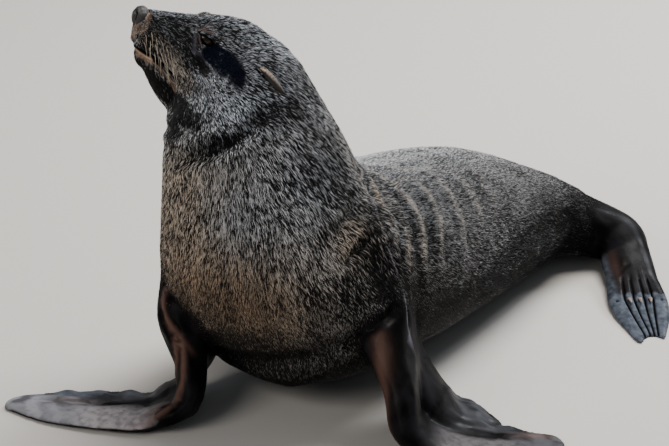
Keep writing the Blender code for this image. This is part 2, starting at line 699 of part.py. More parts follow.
def main():
    clear_scene()
    z_up, y_back = (0, 0, 1), (0, 1, 0)
    forms = [
        body_loft("trunk_form", TRUNK, (z_up, z_up), 0.03),
        body_loft("neck_form", NECK, (y_back, (0.69, 0.72, 0)), 0.05),
        body_loft("crest_form", CREST, ((0, 1, 0.4), (0, 0.5, 1)), 0.04),
        head_loft(),
        *face_masses(),
        flipper_loft("arm_right_form", ARM_RIGHT),
        flipper_loft("arm_left_form", ARM_LEFT),
        flipper_loft("web_left_form", WEB_LEFT),
        flipper_loft("web_right_form", WEB_RIGHT),
        *[ball(f"shoulder_{side}_form", *SHOULDERS[side]) for side in SHOULDERS],
        body_loft("shank_left_form", SHANK_LEFT, (z_up, z_up), 0.03),
        body_loft("shank_right_form", SHANK_RIGHT, (z_up, z_up), 0.03),
        body_loft("tail_form", TAIL, (z_up, z_up), 0.008),
        *set_foot(hind_foot("foot_left"), HEEL_LEFT, FOOT_YAW_LEFT, False),
        *set_foot(hind_foot("foot_right"), HEEL_RIGHT, FOOT_YAW_RIGHT, True),
    ]
    flesh = join(forms, "flesh")
    ease(flesh)
    thin_out(flesh)
    stand(flesh)
    pieces = part_flesh(flesh)
    seated = {}
    seated["nose"] = (ball("nose", NOSE_AT, NOSE_SIZE, 16), "head")
    seated["nose"][0].data.transform(head_matrix())
    for side, word in ((1, "left"), (-1, "right")):
        eye = ball(f"eye_{word}", (side * EYE_AT[0], *EYE_AT[1:]), (EYE_RADIUS,) * 3, 16)
        eye.data.transform(head_matrix())
        seated[f"eye_{word}"] = (eye, "head")
        seated[f"ear_{word}"] = (ear(f"ear_{word}", EARS[word]), "head")
        foot = (HEEL_LEFT, FOOT_YAW_LEFT, False) if side > 0 else (HEEL_RIGHT, FOOT_YAW_RIGHT, True)
        for digit in ("second", "third", "fourth"):
            name = f"claw_{digit}_{word}"
            seated[name] = (claw(name, foot, digit), f"hind_flipper_{word}")
    for piece, holder in seated.values():
        seat(piece, pieces[holder])
    for obj in bpy.data.objects:
        finish(obj)
    return stand_over_origin()


home_shift = main()
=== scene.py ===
import math

import bmesh
import bpy
import numpy as np
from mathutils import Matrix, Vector
from mathutils.bvhtree import BVHTree


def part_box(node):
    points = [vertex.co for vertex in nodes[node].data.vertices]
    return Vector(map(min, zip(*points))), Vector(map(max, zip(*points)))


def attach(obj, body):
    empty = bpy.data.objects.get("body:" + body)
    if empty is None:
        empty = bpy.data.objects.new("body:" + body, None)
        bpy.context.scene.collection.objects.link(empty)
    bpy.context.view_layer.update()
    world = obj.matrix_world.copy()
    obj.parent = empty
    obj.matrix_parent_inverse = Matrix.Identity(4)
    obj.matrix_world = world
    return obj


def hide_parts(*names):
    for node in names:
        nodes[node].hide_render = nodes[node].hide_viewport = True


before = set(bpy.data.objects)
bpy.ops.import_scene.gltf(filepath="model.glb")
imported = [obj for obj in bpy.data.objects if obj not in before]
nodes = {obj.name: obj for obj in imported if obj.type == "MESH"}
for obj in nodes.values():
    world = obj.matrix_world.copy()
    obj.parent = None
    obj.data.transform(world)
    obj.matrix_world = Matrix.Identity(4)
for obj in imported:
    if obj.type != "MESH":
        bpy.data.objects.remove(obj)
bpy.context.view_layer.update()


# ---- places on the animal, found from the frame

def middleOf(node):
    low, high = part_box(node)
    return np.array((low + high) / 2)


# in the level head: x to its left, y back, z up, from midway between the ears
headPlan = {
    "eye": (0.0275, -0.104, 0.014),
    "nose": (0.0, -0.202, -0.001),
    "ears": (-0.13, -0.004, 0.509),  # the head's own zero, as the trunk is measured
}


def headFrame():
    # the three axes and the zero of the level head, from the middles of eyes and nose
    left, right, nose = middleOf("eye_left"), middleOf("eye_right"), middleOf("nose")
    eyes = (left + right) / 2
    side = (left - right) / np.linalg.norm(left - right)
    ahead = (nose - eyes) / np.linalg.norm(nose - eyes)
    over = -np.cross(side, ahead)
    dip = math.atan2(headPlan["eye"][2] - headPlan["nose"][2], headPlan["eye"][1] - headPlan["nose"][1])
    front = math.cos(dip) * ahead + math.sin(dip) * over
    up = math.cos(dip) * over - math.sin(dip) * ahead
    axes = np.column_stack([side, -front, up])
    return axes, eyes - axes @ np.array([0, *headPlan["eye"][1:]])


headAxes, headZero = headFrame()
bodyZero = headZero - np.array(headPlan["ears"])  # the trunk's own zero, on the floor


def inHead(points):
    return (points - headZero) @ headAxes


def fromHead(points):
    return np.asarray(points) @ headAxes.T + headZero


def onBody(*place):
    return np.array(place) + bodyZero


# ---- small tools

def linked(name, mesh):
    obj = bpy.data.objects.new(name, mesh)
    bpy.context.scene.collection.objects.link(obj)
    return obj


def settledMesh(obj):
    # the object's mesh with its modifiers made part of it
    graph = bpy.context.evaluated_depsgraph_get()
    return bpy.data.meshes.new_from_object(obj.evaluated_get(graph))


def settled(obj):
    mesh = settledMesh(obj)
    obj.modifiers.clear()
    obj.data = mesh
    return obj


def readVectors(held, word):
    flat = np.empty(len(held) * 3, np.float32)
    held.foreach_get(word, flat)
    return flat.reshape(-1, 3).astype(float)


def pointsOf(mesh):
    return readVectors(mesh.vertices, "co")


def normalsOf(mesh):
    return readVectors(mesh.vertex_normals, "vector")


def movePoints(mesh, points):
    mesh.vertices.foreach_set("co", points.astype(np.float32).ravel())
    mesh.update()


def keep(mesh, name, values, kind="FLOAT", domain="POINT"):
    held = mesh.attributes.new(name, kind, domain)
    word = "vector" if kind == "FLOAT_VECTOR" else "value"
    held.data.foreach_set(word, np.asarray(values, np.int32 if kind == "INT" else np.float32).ravel())


def ease(low, high, value):
    share = np.clip((value - low) / (high - low), 0, 1)
    return share * share * (3 - 2 * share)


def bell(value, width):
    return np.exp(-((value / width) ** 2))


def weigh(obj, name, weights):
    group = obj.vertex_groups.new(name=name)
    for index, weight in enumerate(weights):
        group.add([index], float(weight), "REPLACE")


def calm(obj, rounds, weights):
    # smooths the mesh, the more the higher the weights
    weigh(obj, "calm", weights)
    smooth = obj.modifiers.new("calm", "SMOOTH")
    smooth.factor = 0.5
    smooth.iterations = rounds
    smooth.vertex_group = "calm"
    settled(obj)
    obj.vertex_groups.clear()


def meshOf(name, points, faces):
    mesh = bpy.data.meshes.new(name)
    mesh.from_pydata([tuple(p) for p in points], [], [tuple(f) for f in faces])
    mesh.update()
    return mesh


def dress(obj, material):
    obj.data.materials.clear()
    obj.data.materials.append(material)
    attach(obj, "root")
    return obj


class Wire:
    # one output of a node; sums and products of wires add Math nodes

    def __init__(self, bench, socket):
        self.bench = bench
        self.socket = socket

    def also(self, name):
        return Wire(self.bench, self.socket.node.outputs[name])

    def __add__(self, other):
        return self.bench.sum("ADD", self, other)

    def __sub__(self, other):
        return self.bench.sum("SUBTRACT", self, other)

    def __rsub__(self, other):
        return self.bench.sum("SUBTRACT", other, self)

    def __mul__(self, other):
        return self.bench.sum("MULTIPLY", self, other)

    def __truediv__(self, other):
        return self.bench.sum("DIVIDE", self, other)

    def __lt__(self, other):
        return self.bench.sum("LESS_THAN", self, other)

    __radd__ = __add__
    __rmul__ = __mul__


class Bench:
    # where the nodes of one material or one geometry tree are laid

    def __init__(self, tree):
        self.tree = tree

    def add(self, kind, settings=None, sockets=None, out=0):
        node = self.tree.nodes.new(kind)
        for key, value in (settings or {}).items():
            setattr(node, key, value)
        for key, value in (sockets or {}).items():
            self.join(value, node.inputs[key])
        return Wire(self, node.outputs[out]) if node.outputs else None

    def join(self, value, socket):
        if isinstance(value, Wire):
            self.tree.links.new(value.socket, socket)
        else:
            socket.default_value = value

    def sum(self, operation, first, second):
        return self.add("ShaderNodeMath", {"operation": operation}, {0: first, 1: second})

    def blend(self, share, first, second):
        # the two colours mixed: share 0 gives the first
        tones = [tone if isinstance(tone, Wire) else (*tone, 1) for tone in (first, second)]
        return self.add("ShaderNodeMix", {"data_type": "RGBA"}, {0: share, 6: tones[0], 7: tones[1]}, out=2)

    def spread(self, value, low, high, bottom=0.0, top=1.0):
        return self.add("ShaderNodeMapRange", {}, {0: value, 1: low, 2: high, 3: bottom, 4: top})

    def held(self, name):
        return self.add("ShaderNodeAttribute", {"attribute_name": name}, out="Fac")

    def noise(self, size, detail=3.0, where=None):
        sockets = {"Scale": 1 / size, "Detail": detail, "Vector": where or self.place()}
        return self.add("ShaderNodeTexNoise", {}, sockets)

    def place(self):
        return self.add("ShaderNodeTexCoord", out="Object")

    def cells(self, count):
        # how far each place lies from the edges of small cells, so many to the metre
        sockets = {"Vector": self.place(), "Scale": count}
        return self.add("ShaderNodeTexVoronoi", {"feature": "DISTANCE_TO_EDGE"}, sockets)

    def bump(self, strength, depth, height):
        return self.add("ShaderNodeBump", {}, {"Strength": strength, "Distance": depth, "Height": height})


def newFinish(name):
    material = bpy.data.materials.new(name)
    material.use_nodes = True
    bench = Bench(material.node_tree)
    shader = material.node_tree.nodes["Principled BSDF"]
    return material, bench, shader


def feed(bench, shader, **values):
    # each value is a wire or a plain number; an underscore stands for a space in the input's name
    for name, value in values.items():
        bench.join(value, shader.inputs[name.replace("_", " ")])


def mottledFinish(name, patch, tones, roughness):
    # two tones that run into each other in patches of (size, detail), and two measures of roughness
    material, bench, shader = newFinish(name)
    tone = bench.noise(*patch)
    feed(bench, shader, Base_Color=bench.blend(tone, *tones))
    feed(bench, shader, Roughness=bench.spread(tone, 0.2, 0.8, *roughness))
    return material, bench, shader


# ---- camera, floor and light

cameraPlan = {
    "around": 40.0,  # degrees from straight in front of the chest, towards its left
    "above": 25.0,
    "away": 4.0,
    "aim": (0.0, 0.0, 0.287),
    "lens": 144.0,
    "sensor": 36.0,
}


def cameraAxes():
    turn, lift = math.radians(cameraPlan["around"]), math.radians(cameraPlan["above"])
    depth = np.array([-math.sin(turn), math.cos(turn), 0.0])
    right = np.array([math.cos(turn), math.sin(turn), 0.0])
    back = -depth * math.cos(lift) + np.array([0, 0, math.sin(lift)])
    return right, depth, back


def setCamera():
    back = Vector(cameraAxes()[2])
    data = bpy.data.cameras.new("camera")
    data.lens = cameraPlan["lens"]
    data.sensor_width = cameraPlan["sensor"]
    data.clip_end = 60
    camera = linked("camera", data)
    camera.location = Vector(onBody(*cameraPlan["aim"])) + back * cameraPlan["away"]
    camera.rotation_euler = (-back).to_track_quat("-Z", "Y").to_euler()
    bpy.context.scene.camera = camera


floorPlan = {"half": 9.0, "tone": (0.56, 0.53, 0.49), "roughness": 0.85}

# each lamp: (right of, beyond and above the animal in metres, size, watts, colour)
lampPlan = {
    "sky": (1.0, 1.3, 3.4, 2.4, 230, (1.0, 0.98, 0.95)),
    "side": (2.3, 2.5, 1.8, 1.2, 105, (0.92, 0.96, 1.0)),
    "front": (-2.6, -2.6, 2.4, 2.4, 72, (1.0, 0.96, 0.91)),
}
worldPlan = {"tone": (0.8, 0.87, 0.97), "strength": 0.24}


def setFloor():
    half = floorPlan["half"]
    corners = [(-half, -half, 0), (half, -half, 0), (half, half, 0), (-half, half, 0)]
    floor = linked("floor", meshOf("floor", corners, [(0, 1, 2, 3)]))
    material, bench, shader = newFinish("floor")
    feed(bench, shader, Base_Color=(*floorPlan["tone"], 1), Roughness=floorPlan["roughness"])
    floor.data.materials.append(material)


def setLight():
    right, depth, _ = cameraAxes()
    aim = onBody(*cameraPlan["aim"])
    for name, (across, beyond, above, size, watts, tone) in lampPlan.items():
        data = bpy.data.lights.new(name, "AREA")
        data.shape = "DISK"
        data.size = size
        data.energy = watts
        data.color = tone
        lamp = linked(name, data)
        spot = Vector(aim + right * across + depth * beyond + np.array([0, 0, above]))
        lamp.location = spot
        lamp.rotation_euler = (Vector(aim) - spot).to_track_quat("-Z", "Y").to_euler()
    world = bpy.data.worlds.new("air")
    bpy.context.scene.world = world
    world.use_nodes = True
    background = world.node_tree.nodes["Background"]
    background.inputs["Color"].default_value = (*worldPlan["tone"], 1)
    background.inputs["Strength"].default_value = worldPlan["strength"]


setCamera()
setFloor()
setLight()
print("camera, floor and light")


# ---- the skin: one closed form from the parted flesh

skinPlan = {
    "cell": 0.003,  # of the remesh that closes the cuts
    "swell": 0.0004,  # lets neighbouring pieces meet across their gap
    "bodyFaces": 35500,  # triangles left where the coat hides them
    "limbFaces": 31000,
    "cleftReaches": (0.007, 0.0032),  # the faces this near a toe's cleft are halved, once for each
    "bodyRounds": 70,  # of smoothing
    "faceRounds": 6,
    "armCalm": 0.16,  # share of the body's smoothing that the forearms and shanks take
    "limbCalm": 0.06,
    "sink": 0.26,  # how deep it lies under the coat, against the hair's length
    "offFloor": 0.0002,
}
flesh = [name for name in nodes if not name.startswith(("ear", "claw", "eye", "nose"))]


def wholeForm():
    whole = bmesh.new()
    for name in [*flesh, "eye_left", "eye_right", "nose"]:
        piece = bmesh.new()
        piece.from_mesh(nodes[name].data)
        bmesh.ops.remove_doubles(piece, verts=piece.verts, dist=1e-6)
        piece.normal_update()
        moves = [(v, v.normal * skinPlan["swell"]) for v in piece.verts]
        for vertex, move in moves:
            vertex.co += move
        mesh = bpy.data.meshes.new(name)
        piece.to_mesh(mesh)
        piece.free()
        whole.from_mesh(mesh)
        bpy.data.meshes.remove(mesh)
    mesh = bpy.data.meshes.new("skin")
    whole.to_mesh(mesh)
    whole.free()
    skin = linked("skin", mesh)
    fuse = skin.modifiers.new("fuse", "REMESH")
    fuse.mode = "VOXEL"
    fuse.voxel_size = skinPlan["cell"]
    return settled(skin)


def nearestNodes(points):
    # the flesh node that each point came from
    corners, faces, owners = [], [], []
    for name in flesh:
        mesh = nodes[name].data
        base = len(corners)
        corners += [v.co for v in mesh.vertices]
        faces += [[base + i for i in p.vertices] for p in mesh.polygons]
        owners += [flesh.index(name)] * len(mesh.polygons)
    tree = BVHTree.FromPolygons(corners, faces)
    return np.array([owners[tree.find_nearest(p)[2]] for p in points.tolist()])


def isOn(owners, *names):
    return np.isin(owners, [i for i, n in enumerate(flesh) if n.startswith(names)])


def on(*names):
    # the points of the finished skin that came from these nodes
    return isOn(owners, *names)


def thinned(skin, loose, faces):
    # about so many faces where the points are loose, and no change elsewhere
    weigh(skin, "loose", loose)
    total = sum(len(p.vertices) - 2 for p in skin.data.polygons)
    held = set(np.flatnonzero(loose == 0).tolist())
    fixed = sum(len(p.vertices) - 2 for p in skin.data.polygons if held.issuperset(p.vertices))
    fewer = skin.modifiers.new("fewer", "DECIMATE")
    fewer.ratio = min(1, (fixed + faces) / total)
    fewer.vertex_group = "loose"
    settled(skin)
    skin.vertex_groups.clear()


def finer(skin, wanted):
    # halves the edges of the faces whose corners are all wanted
    form = bmesh.new()
    form.from_mesh(skin.data)
    form.verts.ensure_lookup_table()
    chosen = [f for f in form.faces if all(wanted[v.index] for v in f.verts)]
    edges = list({e for f in chosen for e in f.edges})
    bmesh.ops.subdivide_edges(form, edges=edges, cuts=1, use_grid_fill=True)
    bmesh.ops.triangulate(form, faces=[f for f in form.faces if len(f.verts) > 4])
    form.to_mesh(skin.data)
    form.free()


def awayFrom(places, line):
    # distance from a line of corners, and how far along it each place lies, from 0 to 1
    line = np.array(line)
    best = np.full(len(places), np.inf)
    along = np.zeros(len(places))
    runs = np.linalg.norm(np.diff(line, axis=0), axis=1)
    done = 0.0
    for start, end, run in zip(line[:-1], line[1:], runs):
        share = np.clip(((places - start) @ (end - start)) / run**2, 0, 1)
        gap = np.linalg.norm(places - start - share[:, None] * (end - start), axis=1)
        nearer = gap < best
        along[nearer] = (done + share[nearer] * run) / runs.sum()
        best = np.minimum(best, gap)
        done += run
    return best, along


def profileOf(points):
    # places in the level head as seen from its side: (ahead, up)
    places = inHead(points)
    return np.column_stack([-places[:, 1], places[:, 2]]), np.abs(places[:, 0])


def isFace(points):
    # the front of the head, from the cheeks to the nose
    place = inHead(points)
    return (place[:, 1] < -0.07) & (place[:, 2] > -0.135) & (np.abs(place[:, 0]) < 0.085)


def roughly(points, size, seed):
    # soft random waves, about 0 to 1, that repeat nowhere near the animal's own size
    draw = np.random.default_rng(seed)
    total = np.zeros(len(points))
    for _ in range(7):
        way = draw.normal(size=3)
        way *= draw.uniform(0.7, 1.5) * 2 * math.pi / (size * np.linalg.norm(way))
        total += np.sin(points @ way + draw.uniform(0, 2 * math.pi))
    return 0.5 + total / 7


def waves(points, *plans):
    # such waves about zero, added up: (strength, size, seed) of each
    return sum(strength * (roughly(points, size, seed) - 0.5) for strength, size, seed in plans)


eyePlan = {
    "radius": 0.016,
    "ahead": 0.1025,
    "height": 0.014,
    "tilt": math.radians(16),  # the front corner sits higher
    "halfLong": 0.0135,  # of the opening
    "upper": 0.0038,  # how far it opens above and below its middle
    "lower": 0.0036,
    "lid": 0.0016,  # thickness
    "fold": 0.0012,  # depth of the crease around the lids
    "rim": 0.001,
}
# the mouth from the lips to its corner: (ahead, up)
mouthPlan = {
    "line": ((0.225, -0.043), (0.194, -0.042), (0.18, -0.0405), (0.165, -0.04), (0.152, -0.043),
             (0.138, -0.049), (0.126, -0.056), (0.118, -0.066)),
    "depth": 0.006,
    "width": 0.0018,
    "lip": 0.0022,  # height of the lips beside it
    "pad": 0.001,  # height of the rows of the whisker pad
}


def eyeGap(flat):
    return np.hypot(flat[:, 0] - eyePlan["ahead"], flat[:, 1] - eyePlan["height"])


def nearMuzzle(points):
    # the muzzle and the wider surroundings of the eyes
    flat, side = profileOf(points)
    return isFace(points) & (((eyeGap(flat) < 0.036) & (side > 0.01)) | (flat[:, 0] > 0.118))


def nearEdge(points):
    # the left arm's rear edge is drawn finely
    body = points - bodyZero
    return (np.abs(behindArm(body)) < 0.009) & (body[:, 0] > 0) & (body[:, 2] > 0.07) & (body[:, 2] < 0.37)


def nearFeatures(points):
    # where lids and lips need small faces
    flat, side = profileOf(points)
    lips = awayFrom(flat, mouthPlan["line"])[0] < 0.009
    return isFace(points) & (((eyeGap(flat) < 0.022) & (side > 0.02)) | (lips & (flat[:, 0] > 0.112)))


# ---- folds and creases of the loose skin, on the body's own measures

# each crease: (depth, width, height of its lips, line)
creasePlan = {
    "jaw": (0.0075, 0.011, 0.004, (
        (-0.16, -0.176, 0.406), (-0.11, -0.186, 0.428), (-0.073, -0.175, 0.446), (-0.05, -0.155, 0.46),
        (-0.04, -0.122, 0.486), (-0.03, -0.085, 0.492))),
    "throat": (0.005, 0.009, 0.003, ((-0.215, -0.12, 0.425), (-0.18, -0.15, 0.44), (-0.15, -0.165, 0.452))),
    "shoulder": (0.007, 0.009, 0.0045, (
        (0.088, -0.098, 0.282), (0.088, -0.05, 0.298), (0.078, 0.004, 0.31))),
    "neck": (0.006, 0.01, 0.004, ((0.076, -0.104, 0.312), (0.068, -0.06, 0.338), (0.04, 0.01, 0.352))),
    "armpit": (0.011, 0.009, 0.0012, (
        (0.146, -0.03, 0.222), (0.149, -0.052, 0.203), (0.138, -0.08, 0.186), (0.105, -0.082, 0.155),
        (0.08, -0.075, 0.12))),
    "elbowOver": (0.0035, 0.006, 0.001, (
        (-0.178, -0.18, 0.215), (-0.165, -0.192, 0.197), (-0.14, -0.2, 0.185), (-0.115, -0.203, 0.163),
        (-0.104, -0.195, 0.138))),
    "elbowUnder": (0.0055, 0.007, 0.002, (
        (-0.17, -0.195, 0.172), (-0.152, -0.206, 0.156), (-0.13, -0.211, 0.145), (-0.11, -0.205, 0.128),
        (-0.098, -0.19, 0.112))),
    "ankle": (0.004, 0.008, 0.002, ((0.046, 0.602, 0.112), (0.063, 0.6, 0.085), (0.068, 0.6, 0.052))),
}
# crests behind the shoulders, on either flank: (along the body, up), from the back downwards
crestPlan = {
    "lines": (
        ((0.112, 0.312), (0.098, 0.296), (0.066, 0.281), (0.041, 0.261), (0.03, 0.233), (0.022, 0.19),
         (0.022, 0.14)),
        ((0.158, 0.304), (0.156, 0.283), (0.143, 0.262), (0.122, 0.242), (0.101, 0.225), (0.085, 0.19),
         (0.078, 0.14)),
        ((0.212, 0.292), (0.202, 0.27), (0.187, 0.249), (0.165, 0.232), (0.144, 0.214), (0.13, 0.18),
         (0.124, 0.14)),
        ((0.252, 0.275), (0.24, 0.246), (0.224, 0.22), (0.205, 0.195), (0.19, 0.16)),
        ((0.305, 0.265), (0.292, 0.236), (0.275, 0.208), (0.258, 0.175)),
        ((0.355, 0.25), (0.335, 0.215), (0.318, 0.18)),
    ),
    "height": 0.0042,
    "lower": 0.14,  # each is so much lower than the one before
    "width": 0.0085,
}
# the rear edge of the left shoulder and arm, seen from the side: (back, up)
armEdge = {
    "line": (
        (-0.02, 0.08), (-0.03, 0.144), (-0.028, 0.168), (-0.026, 0.191), (-0.019, 0.213), (-0.014, 0.235),
        (-0.01, 0.257), (-0.011, 0.272), (-0.012, 0.288), (-0.011, 0.305), (-0.003, 0.317), (0.01, 0.328),
        (0.03, 0.337), (0.045, 0.343), (0.057, 0.349), (0.065, 0.353), (0.09, 0.366)),
    "ridge": 0.009,  # height on the arm's side
    "groove": 0.0085,  # depth behind it
}


def behindArm(body):
    # how far behind that edge each place lies, less than 0 on the arm itself
    back, up = np.array(armEdge["line"]).T
    gap, _ = awayFrom(body[:, 1:], armEdge["line"])
    return gap * np.sign(body[:, 1] - np.interp(body[:, 2], up, back))


def foldBody(points, normals, owners):
    body = points - bodyZero
    move = np.zeros(len(points))
    sway = 0.0035 * np.sin(body @ np.array([57.0, 41.0, 66.0]))
    for depth, width, lip, line in creasePlan.values():
        gap, along = awayFrom(body, line)
        fade = ease(0.0, 0.15, along) * ease(1.0, 0.85, along)
        fade = np.where(gap < 3 * width, fade, 0)
        gap = gap + 0.5 * sway
        move += fade * (lip * bell(np.abs(gap) - 1.7 * width, width) - depth * bell(gap, width))
    flank = np.column_stack([body[:, 1] + sway, body[:, 2]])
    trunk = isOn(owners, "trunk", "chest") * ease(0.3, 0.62, np.abs(normals[:, 0]))
    for number, line in enumerate(crestPlan["lines"]):
        gap, along = awayFrom(flank, line)
        tall = crestPlan["height"] * (1 - crestPlan["lower"] * number)
        tall = tall * ease(0.9, 0.4, along) * ease(-0.02, 0.12, along)
        hollow = 0.8 * bell(gap - 1.9 * crestPlan["width"], 0.008)
        move += trunk * tall * (bell(gap, crestPlan["width"]) - hollow)
    behind = behindArm(body)
    left = ease(0.25, 0.6, normals[:, 0]) * ease(0.16, 0.215, body[:, 2]) * ease(0.336, 0.3, body[:, 2])
    left = left * ~isOn(owners, "foreflipper")
    edge = armEdge["ridge"] * ease(-0.026, -0.004, behind) * ease(0.002, -0.0015, behind)
    groove = armEdge["groove"] * ease(-0.0015, 0.002, behind) * ease(0.022, 0.006, behind)
    move += left * (edge - groove)
    return points + normals * move[:, None]


def makeSkinForm():
    skin = wholeForm()
    points = pointsOf(skin.data)
    owners = nearestNodes(points)
    limbs = isOn(owners, "foreflipper", "hind", "tail")
    arms = isOn(owners, "forearm", "shank")
    face = isFace(points)
    # the body is smoothed most, and the upper arms run smoothly into the chest
    upper = skinPlan["armCalm"] + (1 - skinPlan["armCalm"]) * ease(0.13, 0.19, points[:, 2])
    weights = np.where(limbs, skinPlan["limbCalm"], np.where(arms, upper, 1.0))
    weights = np.where(face, 0.1 + 0.5 * ease(-0.1, -0.07, inHead(points)[:, 1]), weights)
    calm(skin, skinPlan["bodyRounds"], spreadOver(skin.data, weights, 10))
    movePoints(skin.data, foldBody(pointsOf(skin.data), normalsOf(skin.data), owners))
    thinned(skin, np.where(limbs | face, 0.0, 1.0), skinPlan["bodyFaces"])
    owners = nearestNodes(pointsOf(skin.data))
    toes = onToes(pointsOf(skin.data), normalsOf(skin.data))
    thinned(skin, np.where(isOn(owners, "foreflipper", "hind") & ~toes, 1.0, 0.0), skinPlan["limbFaces"])
    for near in (nearEdge, nearMuzzle, nearFeatures):
        finer(skin, near(pointsOf(skin.data)))
    for reach in skinPlan["cleftReaches"]:
        finer(skin, nearClefts(pointsOf(skin.data), normalsOf(skin.data), reach))
    movePoints(skin.data, alongClefts(pointsOf(skin.data), normalsOf(skin.data)))
    calm(skin, skinPlan["faceRounds"], np.where(isFace(pointsOf(skin.data)), 1.0, 0.0))
    return skin, nearestNodes(pointsOf(skin.data))


def spreadOver(mesh, values, rounds):
    # each point takes the mean of its neighbours, so that edges between parts soften
    ends = np.empty(len(mesh.edges) * 2, np.int32)
    mesh.edges.foreach_get("vertices", ends)
    one, two = ends.reshape(-1, 2).T
    count = np.bincount(one, minlength=len(values)) + np.bincount(two, minlength=len(values))
    for _ in range(rounds):
        total = np.bincount(one, values[two], len(values)) + np.bincount(two, values[one], len(values))
        values = 0.3 * values + 0.7 * total / count
    return values


# ---- the hind feet, each on its own measures: how far along the foot, and how far to its side

# each foot: (heel, degrees that it is turned towards the left, side of the body)
footPlan = {
    "left": ((0.085, 0.65), 45, 1),
    "right": ((-0.224, 0.652), -45, -1),
}
# each digit: (to the side at its nail, and at its tip, length past the nail, half width, height)
toePlan = {
    "first": (-0.038, -0.021, 0.124, 0.0165, 1.0),
    "second": (-0.017, -0.005, 0.099, 0.0085, 0.72),
    "third": (0.0, 0.002, 0.088, 0.0085, 0.62),
    "fourth": (0.017, 0.009, 0.097, 0.0085, 0.72),
    "fifth": (0.036, 0.019, 0.118, 0.0155, 1.0),
}
nailRow = 0.165  # from the heel
pitRow = 0.171  # of the small pits over the nails of the outer digits
# how deep the clefts between the digits are, at these places along the foot
cleftPlan = (
    (0.06, 0.1, 0.14, 0.165, 0.21, 0.25, 0.285),
    (0.0, 0.0012, 0.0036, 0.0068, 0.006, 0.0048, 0.003),
)
cleftSnap = 0.00042  # points nearer than this to a cleft are brought onto it


def onFoot(points, word):
    # how far each place lies along the foot from its heel, and how far towards the side of its fifth digit
    heel, turn, side = footPlan[word]
    turn = math.radians(turn)
    flat = points[:, :2] - bodyZero[:2] - np.array(heel)
    run = flat @ np.array([math.sin(turn), -math.cos(turn)])
    return run, flat @ np.array([math.cos(turn), math.sin(turn)]) * side


def onToes(points, normals):
    # the upper sides of the digits
    wanted = np.zeros(len(points), bool)
    for word in footPlan:
        run, _ = onFoot(points, word)
        wanted |= isOn(nearestNodes(points), f"hind_flipper_{word}") & (run > 0.108)
    return wanted & (normals[:, 2] > 0.25)


def nearClefts(points, normals, reach):
    # the upper sides of the feet close to a cleft or a pit
    wanted = np.zeros(len(points), bool)
    for word in footPlan:
        run, side = onFoot(points, word)
        near = ((cleftGap(run, side) < reach) & (run > 0.116)) | (pitGap(run, side) < reach)
        wanted |= isOn(nearestNodes(points), f"hind_flipper_{word}") & near
    return wanted & (normals[:, 2] > 0.25)


def cleftsAt(run):
    # how far to the side each cleft and each outer border lies
    middles, halves = [], []
    for atNail, atTip, reach, half, _ in toePlan.values():
        middles.append(np.interp(run, (0.074, nailRow, nailRow + reach), (atNail * 0.75, atNail, atTip)))
        halves.append(half * np.interp(run, (0.074, nailRow, nailRow + reach), (0.8, 1.0, 0.9)))
    clefts = [middles[0] - halves[0]]
    for number in range(len(toePlan) - 1):
        clefts.append((middles[number] + halves[number] + middles[number + 1] - halves[number + 1]) / 2)
    return [*clefts, middles[-1] + halves[-1]]


def cleftGap(run, side):
    # how far each place lies from the nearest cleft between two digits
    return np.min([np.abs(side - cleft) for cleft in cleftsAt(run)[1:-1]], axis=0)


def pitGap(run, side):
    # how far each place lies from the nearer of the two pits
    return np.min([np.hypot(run - pitRow, side - toePlan[name][0]) for name in ("first", "fifth")], axis=0)


def acrossToes(run, side):
    # how far each place lies from the middle of its digit to the cleft beside it, and that digit's number
    clefts = cleftsAt(run)
    across, number = np.ones(len(run)), np.zeros(len(run), int)
    for index, (low, high) in enumerate(zip(clefts[:-1], clefts[1:])):
        inside = (side > low) & (side <= high)
        share = np.abs(side - (low + high) / 2) / np.maximum((high - low) / 2, 0.001)
        across = np.where(inside, share, across)
        number = np.where(inside, index, number)
    return np.clip(across, 0, 1), number


def alongClefts(points, normals):
    # points that lie close to a cleft are brought onto it
    for word, (_, turn, hand) in footPlan.items():
        turn = math.radians(turn)
        run, side = onFoot(points, word)
        there = isOn(nearestNodes(points), f"hind_flipper_{word}") & (run > 0.115) & (normals[:, 2] > 0.3)
        for cleft in cleftsAt(run)[1:-1]:
            gap = cleft - side
            shift = np.where(there & (np.abs(gap) < cleftSnap), gap, 0)
            points[:, 0] += shift * math.cos(turn) * hand
            points[:, 1] += shift * math.sin(turn) * hand
    return points


def carveToes(points, normals):
    heights = np.array([plan[4] for plan in toePlan.values()])
    for word in footPlan:
        run, side = onFoot(points, word)
        there = on(f"hind_flipper_{word}") * ease(0.2, 0.5, normals[:, 2])
        across, number = acrossToes(run, side)
        past = ease(nailRow, nailRow + 0.05, run)
        tall = 1 - past * (1 - heights[number])
        clefts = cleftsAt(run)
        outer = (side < clefts[0] + 0.012) | (side > clefts[-1] - 0.012)
        depth = np.interp(run, *cleftPlan)
        groove = 0.85 * bell(cleftGap(run, side), 0.0016)
        profile = tall * (1 - 0.45 * across**2.6 * np.where(outer, 0.5, 1.0) - groove)
        pit = bell(pitGap(run, side), 0.0026)
        points[:, 2] -= there * (depth * (1 - profile) + 0.0026 * pit)
    return points


skin, owners = makeSkinForm()
print("skin form", len(skin.data.vertices))


